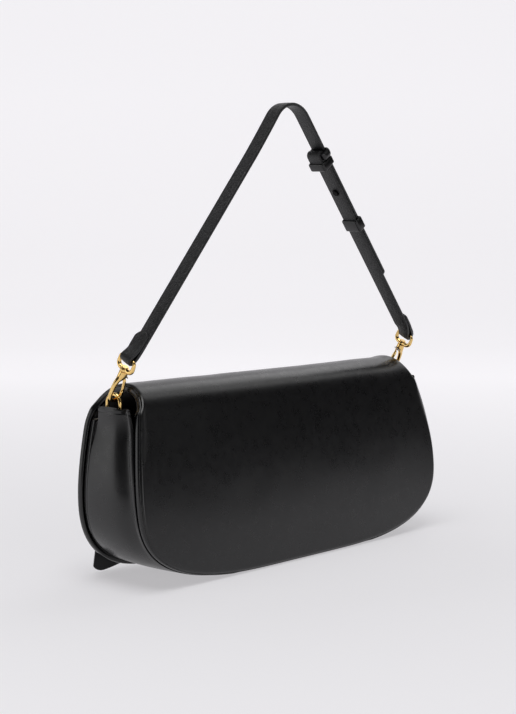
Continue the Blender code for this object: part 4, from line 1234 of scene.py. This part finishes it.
def rounded_loop(corners: Sequence[tuple[float, float]], radii: Sequence[float],
                 steps: int = 8) -> np.ndarray:
    """Return a closed flat path through corners that are rounded off."""
    path = []
    count = len(corners)
    for index, radius in enumerate(radii):
        corner = np.array(corners[index], dtype=float)
        arrive = np.array(corners[index - 1], dtype=float) - corner
        leave = np.array(corners[(index + 1) % count], dtype=float) - corner
        arrive /= np.linalg.norm(arrive)
        leave /= np.linalg.norm(leave)
        half = math.acos(float(np.clip(arrive @ leave, -1, 1))) / 2
        middle = (arrive + leave) / np.linalg.norm(arrive + leave)
        centre = corner + middle * radius / math.sin(half)
        first = corner + arrive * radius / math.tan(half) - centre
        last = corner + leave * radius / math.tan(half) - centre
        start, end = math.atan2(first[1], first[0]), math.atan2(last[1], last[0])
        sweep = (end - start + math.pi) % (2 * math.pi) - math.pi
        for step in range(steps + 1):
            turn = start + sweep * step / steps
            path.append(centre + radius * np.array([math.cos(turn), math.sin(turn)]))
    return np.array(path)


# Rings, hooks and gates

@dataclass(frozen=True)
class HookSizes:
    """The hooks' sizes, the same as the solids have, from the ring's centre outwards."""

    middle: float = 0.150581
    ring_plane: float = 0.149381
    ring_bar: float = 0.115
    ring_radius: float = 0.0065
    ring_wire: float = 0.0013
    half: float = 0.0048
    wire: float = 0.00145
    bend: float = 0.0078
    nose: float = 0.0091
    slot: float = 0.0018
    slot_start: float = 0.0150
    slot_end: float = 0.0234
    collar_end: float = 0.0259
    boss_length: float = 0.0024
    boss_radius: float = 0.0032
    boss_bore: float = 0.0016
    eye_gap: float = 0.3 * MM
    eye_rise: float = 1.1 * MM
    eye_half: float = 0.0073
    eye_bar: float = 0.0360
    gate_shift: float = 0.9 * MM
    gate_gap: float = 0.55 * MM
    pivot_side: float = 0.0027
    pivot_at: float = 0.0218


HOOK = HookSizes()

# The hook's arm beyond its bend: share of the half width, and distance out in millimetres
HOOK_ARM = ((1.0, 9.5), (0.985, 11.5), (0.94, 13.5), (0.86, 15.5), (0.73, 17.5), (0.56, 19.3),
            (0.40, 20.8), (0.30, 22.0))

# The hook's head by rings: distance out, shift across, half width, half depth in millimetres
HOOK_HEAD = ((17.6, 3.35, 1.35, 1.35), (18.4, 2.75, 1.65, 1.7), (19.2, 2.1, 2.0, 2.05),
             (20.0, 1.4, 2.45, 2.4), (20.8, 0.75, 2.85, 2.65), (21.6, 0.3, 3.15, 2.8),
             (22.5, 0.05, 3.3, 2.85), (23.4, 0.0, 3.2, 2.85), (24.2, 0.0, 3.0, 2.85),
             (25.2, 0.0, 2.9, 2.9), (25.7, 0.0, 2.8, 2.8), (25.9, 0.0, 2.5, 2.5))


class Hook:
    """One end's D-ring, trigger hook, gate and swivel eye."""

    def __init__(self, finishes: Finishes, side: Side) -> None:
        """Keep the finishes, the side and the hook's directions."""
        self.finishes = finishes
        self.side = side
        lean = STRAP.hook_lean
        self.origin = np.array([side.value * HOOK.middle, STRAP.ring_y, STRAP.ring_z])
        self.axes = np.array([[side.value, 0.0, 0.0],
                              [0.0, math.cos(lean), -math.sin(lean)],
                              [0.0, math.sin(lean), math.cos(lean)]])

    def at(self, spots: Sequence[Sequence[float]]) -> np.ndarray:
        """Return places for distances away from the bag, along the strap's width and outwards."""
        return self.origin + np.asarray(spots, dtype=float) @ self.axes

    def build(self) -> None:
        """Build the four pieces."""
        self.ring()
        self.hook()
        self.gate()
        self.eye()

    def finish(self, item: Item, body: str, node: str) -> None:
        """Plate a piece and say what it rides on and which solid it stands for."""
        finish_piece(item, self.finishes.gold, body, (f"{node}_{self.side.word}",))

    def ring(self) -> None:
        """Build the D-ring: round above, straight along its bar."""
        radius, word = HOOK.ring_radius, self.side.word
        low, middle = HOOK.ring_bar, STRAP.ring_z
        turn = np.linspace(0, math.pi, 25)
        arch = np.stack([radius * np.cos(turn), middle + radius * np.sin(turn)], axis=-1)
        foot = rounded_loop([(-radius, middle), (-radius, low), (radius, low), (radius, middle)],
                            [0.1 * MM, 1.8 * MM, 1.8 * MM, 0.1 * MM])[9:27]
        path = np.concatenate([arch, foot])
        x = np.full(len(path), self.side.value * HOOK.ring_plane)
        points = np.stack([x, STRAP.ring_y + path[:, 0], path[:, 1]], axis=-1)
        item = tube(f"ring_{word}_wire", points, (1, 0, 0), HOOK.ring_wire, loop=True)
        self.finish(item, f"ring_{word}", "d_ring")

    def hook(self) -> None:
        """Build the hook: a wire that thickens into a head with a slot, and a round collar."""
        half, bend = HOOK.half, HOOK.bend
        path = [(-half, HOOK.nose)]
        path += [(-half * math.cos(turn), bend - half * math.sin(turn))
                 for turn in np.linspace(0, math.pi, 25)]
        path += [(half * share, out * MM) for share, out in HOOK_ARM]
        count = len(path)
        radii = HOOK.wire * np.interp(np.arange(count), [0, 3, 24, 30, count - 4, count - 1],
                                      [0.88, 0.95, 0.97, 1.16, 1.26, 1.25])
        points = self.at([(across, 0.0, out) for across, out in path])
        word = self.side.word
        item = tube(f"hook_{word}_body", points, self.axes[1], radii)
        top, slot = self.head(), self.slot()
        apply_modifier(top, "BOOLEAN", object=slot, operation="DIFFERENCE", solver="EXACT")
        apply_modifier(item, "BOOLEAN", object=top, operation="UNION", solver="EXACT")
        for extra in (top, slot):
            bpy.data.objects.remove(extra, do_unlink=True)
        apply_modifier(item, "BEVEL", width=0.12 * MM, segments=2, limit_method="ANGLE",
                       angle_limit=math.radians(50))
        smooth(item, 50)
        self.finish(item, f"hook_{word}", "hook")

    def head(self) -> Item:
        """Return the hook's head, which tapers from the arm to the collar."""
        turn = np.linspace(0, 2 * math.pi, 32, endpoint=False)
        cosine, sine = np.cos(turn), np.sin(turn)
        square_x = np.sign(cosine) * np.abs(cosine) ** 0.85
        square_y = np.sign(sine) * np.abs(sine) ** 0.85
        rings = [self.at(np.stack([shift + wide * square_x, thick * square_y,
                                   np.full(len(turn), out)], axis=-1) * MM)
                 for out, shift, wide, thick in HOOK_HEAD]
        return closed_sweep("head", np.array(rings))

    def slot(self) -> Item:
        """Return the block that cuts the gate's slot into the head."""
        wide, start, end = HOOK.slot, HOOK.slot_start, HOOK.slot_end
        rings = [self.at([(across, -wide, start), (across, wide, start), (across, wide, end),
                          (across, -wide, end)]) for across in (-8.0 * MM, 0.9 * MM)]
        return closed_sweep("slot", np.array(rings))

    def gate(self) -> None:
        """Build the gate: a wire that flattens into the hub on the pin."""
        side, wide = -HOOK.pivot_side, -HOOK.gate_shift
        tip = HOOK.nose + HOOK.gate_gap + HOOK.wire * 0.7
        share = np.linspace(0.0, 1.0, 16)
        across = side + (-HOOK.half - side) * np.clip(share * 1.22, 0, 1) ** 0.9
        out = HOOK.pivot_at + (tip - HOOK.pivot_at) * share
        shift = wide * (1 - climb(share, 0.08, 0.22))
        radii = np.interp(share, [0, 0.12, 0.3, 1.0], [1.25, 0.8, 1.02, 1.1]) * MM
        flat = np.interp(share, [0, 0.14, 0.40, 0.85, 1.0], [0.45, 0.7, 1.25, 1.25, 1.0])
        points = self.at(np.stack([across, shift, out], axis=-1))
        along = unit(np.gradient(points, axis=0))
        cross = np.cross(along, self.axes[1])
        turn = np.linspace(0, 2 * math.pi, 18, endpoint=False)[:, None]

        def circle(index: int, radius: float, wide: float = 1.0) -> np.ndarray:
            """Return a ring's places round the wire's middle."""
            return radius * (cross[index] * np.cos(turn) + self.axes[1] * np.sin(turn) * wide)

        rings = [spot + circle(index, radii[index], flat[index])
                 for index, spot in enumerate(points)]
        rings += [points[-1] + along[-1] * radii[-1] * reach * 0.7 + circle(-1, size * radii[-1])
                  for reach, size in ((0.5, 0.87), (0.85, 0.53), (0.98, 0.2))]
        item = closed_sweep(f"gate_{self.side.word}_wire", np.array(rings))
        self.finish(item, f"gate_{self.side.word}", "gate")

    def eye(self) -> None:
        """Build the swivel eye: a loop for the strap on a boss that is bored for the stem."""
        low = HOOK.collar_end + HOOK.eye_gap
        start, half, bar = low + HOOK.eye_rise, HOOK.eye_half, HOOK.eye_bar
        path = rounded_loop([(half, start), (half, bar), (-half, bar), (-half, start)],
                            [3.6 * MM, 2.2 * MM, 2.2 * MM, 3.6 * MM], 10)
        points = self.at(np.stack([0 * path[:, 0], path[:, 0], path[:, 1]], axis=-1))
        radii = np.interp(path[:, 1], [start, start + 3 * MM, bar], [1.7, 1.45, 1.05]) * MM
        item = tube(f"eye_{self.side.word}_loop", points, (1, 0, 0), radii, loop=True)
        inner, outer, tall = HOOK.boss_bore, HOOK.boss_radius, HOOK.boss_length
        profile = [(0.0, inner), (0.0, outer - 0.5 * MM), (0.15 * MM, outer - 0.12 * MM),
                   (0.5 * MM, outer), (tall - 0.6 * MM, outer),
                   (tall - 0.15 * MM, outer - 0.3 * MM), (tall, outer - 0.9 * MM), (tall, inner)]
        boss = turned_ring("boss", self.at([(0, 0, low)])[0], self.axes[2], profile)
        self.finish(joined([item, boss]), "strap", "swivel_eye")


# Tabs that hold the rings


@dataclass(frozen=True)
class TabSizes:
    """The ring tab's sizes and those of its two rows of stitches."""

    thickness: float = 0.8 * MM
    drop: float = 24 * MM
    half: float = 5.0 * MM
    inner_inset: float = 1.7 * MM
    outer_inset: float = 2.0 * MM
    edge: float = 0.2 * MM
    face: float = 0.38 * MM
    bevel: float = 0.15 * MM
    row: float = 2.5 * MM
    stitches: int = 4
    first_stitch: float = 96.5 * MM
    pitch: float = 2.75 * MM
    stitch: float = 2.15 * MM
    slant: float = 0.25 * MM
    lift: float = 0.95 * MM
    arch: float = 0.30 * MM
    thread: float = 0.42 * MM


TAB = TabSizes()


class RingTab:
    """The leather tab that holds one D-ring, and the two rows of stitches that hold the tab."""

    def __init__(self, finishes: Finishes, side: Side) -> None:
        """Keep the finishes and the side."""
        self.finishes = finishes
        self.side = side

    def wall(self, height: float, inset: float) -> float:
        """Return the gusset's distance from the middle at a height."""
        run = gusset_run(inset)
        right = run[len(run) // 2:]
        return float(np.interp(height, right[:, 1], right[:, 0]))

    def build(self) -> None:
        """Build the tab and the stitches."""
        self.leather()
        self.stitches()

    def leather(self) -> None:
        """Build the tab: up inside the gusset, over the ring's bar and down again."""
        bar, plane = HOOK.ring_bar, HOOK.ring_plane
        bend = HOOK.ring_wire + 0.3 * MM + TAB.thickness / 2
        heights = bar - TAB.drop * np.linspace(0, 1, 9)[1:]
        path = [(self.wall(height, TAB.inner_inset + TAB.thickness / 2), height)
                for height in heights[::-1]]
        path += [(plane + bend * math.cos(turn), bar + bend * math.sin(turn))
                 for turn in np.linspace(0, math.pi, 15)]
        path += [(min(self.wall(height, TAB.outer_inset + TAB.thickness * 1.5),
                      plane - bend + (bar - height) / TAB.drop * 5 * bend), height)
                 for height in heights]
        path = np.array(path)
        along = unit(np.gradient(path, axis=0))
        normal = np.stack([-along[:, 1], along[:, 0]], axis=-1)
        half, flat = TAB.half, TAB.half - TAB.bevel
        section = [(-half, -TAB.edge), (-flat, -TAB.face), (flat, -TAB.face), (half, -TAB.edge),
                   (half, TAB.edge), (flat, TAB.face), (-flat, TAB.face), (-half, TAB.edge)]
        rings = [[(self.side.value * (spot[0] + way[0] * depth), STRAP.ring_y + y,
                   spot[1] + way[1] * depth) for y, depth in section]
                 for spot, way in zip(path, normal)]
        word = self.side.word
        item = closed_sweep(f"tab_{word}_leather", np.array(rings))
        finish_piece(item, self.finishes.leather, "body", (f"ring_tab_{word}",))

    def stitches(self) -> None:
        """Build two rows of stitches as one thread."""
        word, made = self.side.word, []
        for row in (-TAB.row, TAB.row):
            for index in range(TAB.stitches):
                points = []
                for share in np.linspace(0, 1, 9):
                    height = TAB.first_stitch + TAB.pitch * index + TAB.stitch * share
                    lift = TAB.lift + TAB.arch * math.sin(math.pi * share)
                    points.append((self.side.value * (self.wall(height, 0.0) + lift),
                                   STRAP.ring_y + row + TAB.slant * (share - 0.5), height))
                made.append(tube("stitch", np.array(points), (1, 0, 0), TAB.thread, 8))
        item = joined(made)
        item.name = f"tab_{word}_stitches"
        finish_piece(item, self.finishes.thread, "body", (f"tab_stitching_{word}",))


# Tie on the flap


@dataclass(frozen=True)
class TieSizes:
    """The tie's sizes: its knot, and where each end runs from the knot to its corner."""

    clear: float = 0.3 * MM
    knot_middle: float = 66.0 * MM
    knot_height: float = 22.9 * MM
    knot_half: float = 13.0 * MM
    knot_edge: float = 4.0 * MM
    knot_depth: float = 5.3 * MM
    knot_fold: float = 0.75 * MM
    end_start: float = 13.3 * MM
    end_short: float = 21 * MM
    end_thick: float = 1.5 * MM
    root_low: float = 49.0 * MM
    root_high: float = 83.0 * MM
    tip_low: float = 1.0 * MM
    tip_high: float = 43.0 * MM
    tip_corner: float = 5.0 * MM
    lift: float = 7 * MM
    lean: float = 2.5 * MM
    wave: float = 0.8 * MM


TIE = TieSizes()


class Tie:
    """The knot on the flap and its two soft ends, which reach down to the lower corners."""

    def __init__(self, finishes: Finishes) -> None:
        """Keep the finishes and the face that the tie lies on."""
        self.finishes = finishes
        self.face = SIZES.flap_y - TIE.clear

    def build(self) -> None:
        """Build the knot and both ends."""
        self.knot()
        for side in Side:
            self.end(side)

    def knot(self) -> None:
        """Build the knot as a soft band that is drawn in at its middle, with fine folds."""
        rings = []
        turns = np.linspace(0, 2 * math.pi, 44, endpoint=False)
        cosine, sine = np.cos(turns), np.sin(turns)
        round_x = np.sign(cosine) * np.abs(cosine) ** 0.9
        round_y = 0.5 + 0.5 * np.sign(sine) * np.abs(sine) ** 0.7
        for share in np.linspace(-1, 1, 40):
            bulge = math.sqrt(max(1 - share ** 4, 0.0))
            end = 1 - 0.10 * (abs(share) > 0.96)
            half = TIE.knot_half * (0.78 + 0.22 * abs(share)) * end - 1.6 * MM * bulge
            fold = TIE.knot_fold * np.sin(6 * turns + 3.0 * share) * (1 - 0.5 * abs(share))
            y = -(TIE.knot_edge + TIE.knot_depth * bulge) * round_y - fold * (sine > -0.2)
            z = np.full(len(turns), TIE.knot_middle + TIE.knot_height * share)
            rings.append(np.stack([half * round_x, self.face + np.minimum(y, 0.0), z], axis=-1))
        item = closed_sweep("tie_knot_leather", np.array(rings))
        finish_piece(item, self.finishes.leather, "flap", ("tie_knot",))

    def end(self, side: Side) -> None:
        """Build one end: a wide sheet that narrows to a soft corner and stands off the flap."""
        share = np.concatenate([np.linspace(0, 0.9, 46), np.linspace(0.91, 1.0, 14)])[:, None]
        across = np.linspace(0, 1, 23)[None]
        x = TIE.end_start + (SIZES.half_width - TIE.end_short - TIE.end_start) * share
        x = x - 4 * MM * share * across

        fall = np.clip(1 - share / 0.95, 0, None) ** 1.5
        low = TIE.tip_low + (TIE.root_low - TIE.tip_low) * fall
        high = TIE.root_high * (1 - share) + TIE.tip_high * share
        corner = climb(share, 0.93, 0.07)
        low = low + TIE.tip_corner * (1 - np.sqrt(np.clip(1 - corner ** 2, 0, 1)))
        low = np.where(share >= 0.9999, TIE.tip_corner, low)
        z = low + (high - low) * across

        wave = np.sin(9.0 * share + 3.0 * across) * np.sin(math.pi * np.clip(share, 0, 1))
        y = (self.face - TIE.lift * share ** 1.4 - 1.2 * MM * np.sin(math.pi * share)
             + TIE.lean * share * across - TIE.wave * np.clip(wave, 0, 1) * (0.3 + across))
        grid = np.stack([side.value * np.broadcast_to(x, z.shape), y, z], axis=-1)
        grid = grid if side is Side.RIGHT else grid[:, ::-1]
        item = sheet_mesh(f"tie_{side.word}_leather", grid[::-1], TIE.end_thick)
        apply_modifier(item, "BEVEL", width=0.45 * MM, segments=3, limit_method="ANGLE",
                       angle_limit=math.radians(60))
        smooth(item, 60)
        finish_piece(item, self.finishes.leather, "flap", (f"tie_end_{side.word}",))
        item.data.materials.append(self.finishes.flesh)
        for polygon in item.data.polygons:
            polygon.material_index = 1 if polygon.normal.y > 0.5 else 0


# Room, light and camera


@dataclass(frozen=True)
class PhotoSizes:
    """Where the photograph was taken from and how long its lens is, in its own pixels."""

    width_px: float = 516.0
    focal_px: float = 1500.0
    place: tuple[float, float, float] = (0.8158, 0.7510, 0.2466)
    azimuth: float = math.radians(133.19)
    pitch: float = math.radians(5.18)


PHOTO = PhotoSizes()

# Each lamp's name, place, target, size and power in watts
LAMPS = (
    ("top_light", (0.45, 0.25, 1.7), (0, 0, 0.05), (1.2, 1.2), 20.0),
    ("back_light", (-0.80, -0.10, 1.15), (0.05, 0, 0.12), (0.9, 0.9), 3.0),
    ("left_light", (1.5, -1.35, 0.5), (0.1, 0, 0.08), (1.0, 1.0), 4.0),
    ("edge_light", (0.62, 1.75, 0.32), (0.15, 0.02, 0.09), (0.6, 0.55), 3.5),
    ("right_light", (-0.9, 1.9, 1.1), (0, 0, 0.08), (1.0, 1.2), 2.0),
)


class Studio:
    """A pale floor that curves up behind, soft lamps and the camera of the photograph."""

    def build(self) -> None:
        """Build the room."""
        self.floor()
        self.lamps()
        self.camera()

    def floor(self) -> None:
        """Make the floor and backdrop as one curved sheet, square to the camera."""
        y = np.concatenate([np.linspace(2.6, -1.6, 26), [-1.7, -1.85, -2.0, -2.1, -2.15]])
        z = np.concatenate([np.zeros(26), [0.01, 0.06, 0.18, 0.5, 2.4]])
        x = np.linspace(-3.2, 3.2, 20)
        cosine, sine = math.cos(PHOTO.azimuth - math.pi), math.sin(PHOTO.azimuth - math.pi)
        grid = np.zeros((len(y), len(x), 3))
        grid[..., 0] = x[None] * cosine - y[:, None] * sine
        grid[..., 1] = x[None] * sine + y[:, None] * cosine
        grid[..., 2] = z[:, None]
        item = new_grid("studio_floor", len(x), len(y))
        set_points(item, grid.reshape(-1, 3))
        smooth(item)
        item.data.materials.clear()
        item.data.materials.append(self.paper())

    def paper(self) -> Material:
        """Return the paper: dull and pale, with a painted glow that stands in for studio light,
        dimmer round the bag as painted shade.
        """
        material, tree, shader = start_material("studio_paper")
        shader.inputs["Base Color"].default_value = linear("A2A2A4")
        shader.inputs["Roughness"].default_value = 0.95
        shader.inputs["Specular IOR Level"].default_value = 0.1
        shader.inputs["Emission Color"].default_value = linear("F0EEF1")
        place = add_node(tree, "ShaderNodeTexCoord").outputs["Object"]
        away = add_node(tree, "ShaderNodeVectorMath", {"operation": "LENGTH"},
                        {"Vector": place}).outputs["Value"]
        # Painted shade and light: the glow is weakest near the bag as a painted shadow round it,
        # and grows with distance as painted even studio light.
        glow_with_painted_shade = ramp(tree, away, 0.16, 1.3, 0.52, 0.81)
        tree.links.new(glow_with_painted_shade, shader.inputs["Emission Strength"])
        return material

    def lamps(self) -> None:
        """Add the soft lamps and the dim world."""
        world = bpy.data.worlds.new("studio_world")
        world.use_nodes = True
        bpy.context.scene.world = world
        back = world.node_tree.nodes["Background"]
        back.inputs["Color"].default_value = linear("E9E9EC")
        back.inputs["Strength"].default_value = 0.045
        for name, place, target, size, power in LAMPS:
            data = bpy.data.lights.new(name, "AREA")
            data.shape = "RECTANGLE"
            data.size, data.size_y = size
            data.energy = power
            self.aim(name, data, place, Vector(target) - Vector(place))

    def camera(self) -> None:
        """Add the camera where the photograph was taken from."""
        data = bpy.data.cameras.new("photo_camera")
        data.sensor_fit = "HORIZONTAL"
        data.sensor_width = 36.0
        data.lens = data.sensor_width * PHOTO.focal_px / PHOTO.width_px
        level = math.cos(PHOTO.pitch)
        way = Vector((-level * math.sin(PHOTO.azimuth), level * math.cos(PHOTO.azimuth),
                      -math.sin(PHOTO.pitch)))
        bpy.context.scene.camera = self.aim("photo_camera", data, PHOTO.place, way)

    def aim(self, name: str, data: bpy.types.ID, place: Sequence[float], way: Vector) -> Item:
        """Add a lamp or a camera at a place, looking along a way."""
        item = bpy.data.objects.new(name, data)
        item.location = place
        item.rotation_euler = way.to_track_quat("-Z", "Y").to_euler()
        bpy.context.scene.collection.objects.link(item)
        return item


def dress_nodes(finishes: Finishes) -> None:
    """Give every solid of the frame its finish, whether it still shows or not."""
    looks = (("_board", finishes.board), ("gate_pin", finishes.steel),
             ("gate_spring", finishes.steel), ("_washer", finishes.steel),
             ("strap_stud", finishes.black_metal), ("d_ring", finishes.gold),
             ("hook", finishes.gold), ("swivel", finishes.gold), ("gate", finishes.gold),
             ("_magnet", finishes.gold), ("tab_stitching", finishes.thread),
             ("strap", finishes.strap), ("keeper", finishes.strap), ("_lining", finishes.lining))
    for name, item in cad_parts.items():
        item.data.materials.clear()
        item.data.materials.append(next((look for word, look in looks if word in name),
                                        finishes.leather))


def main() -> None:
    """Build the bag's sub-assemblies in order, then the room."""
    logging.basicConfig(level=logging.INFO, format="%(message)s")
    finishes = Finishes()
    dress_nodes(finishes)
    Shell(finishes).build()
    FrontWall(finishes).build()
    Gusset(finishes).build()
    Strap(finishes).build()
    for side in Side:
        Hook(finishes, side).build()
        RingTab(finishes, side).build()
    Tie(finishes).build()
    Studio().build()
    bpy.context.scene.view_settings.view_transform = "Standard"


if __name__ == "__main__":
    main()
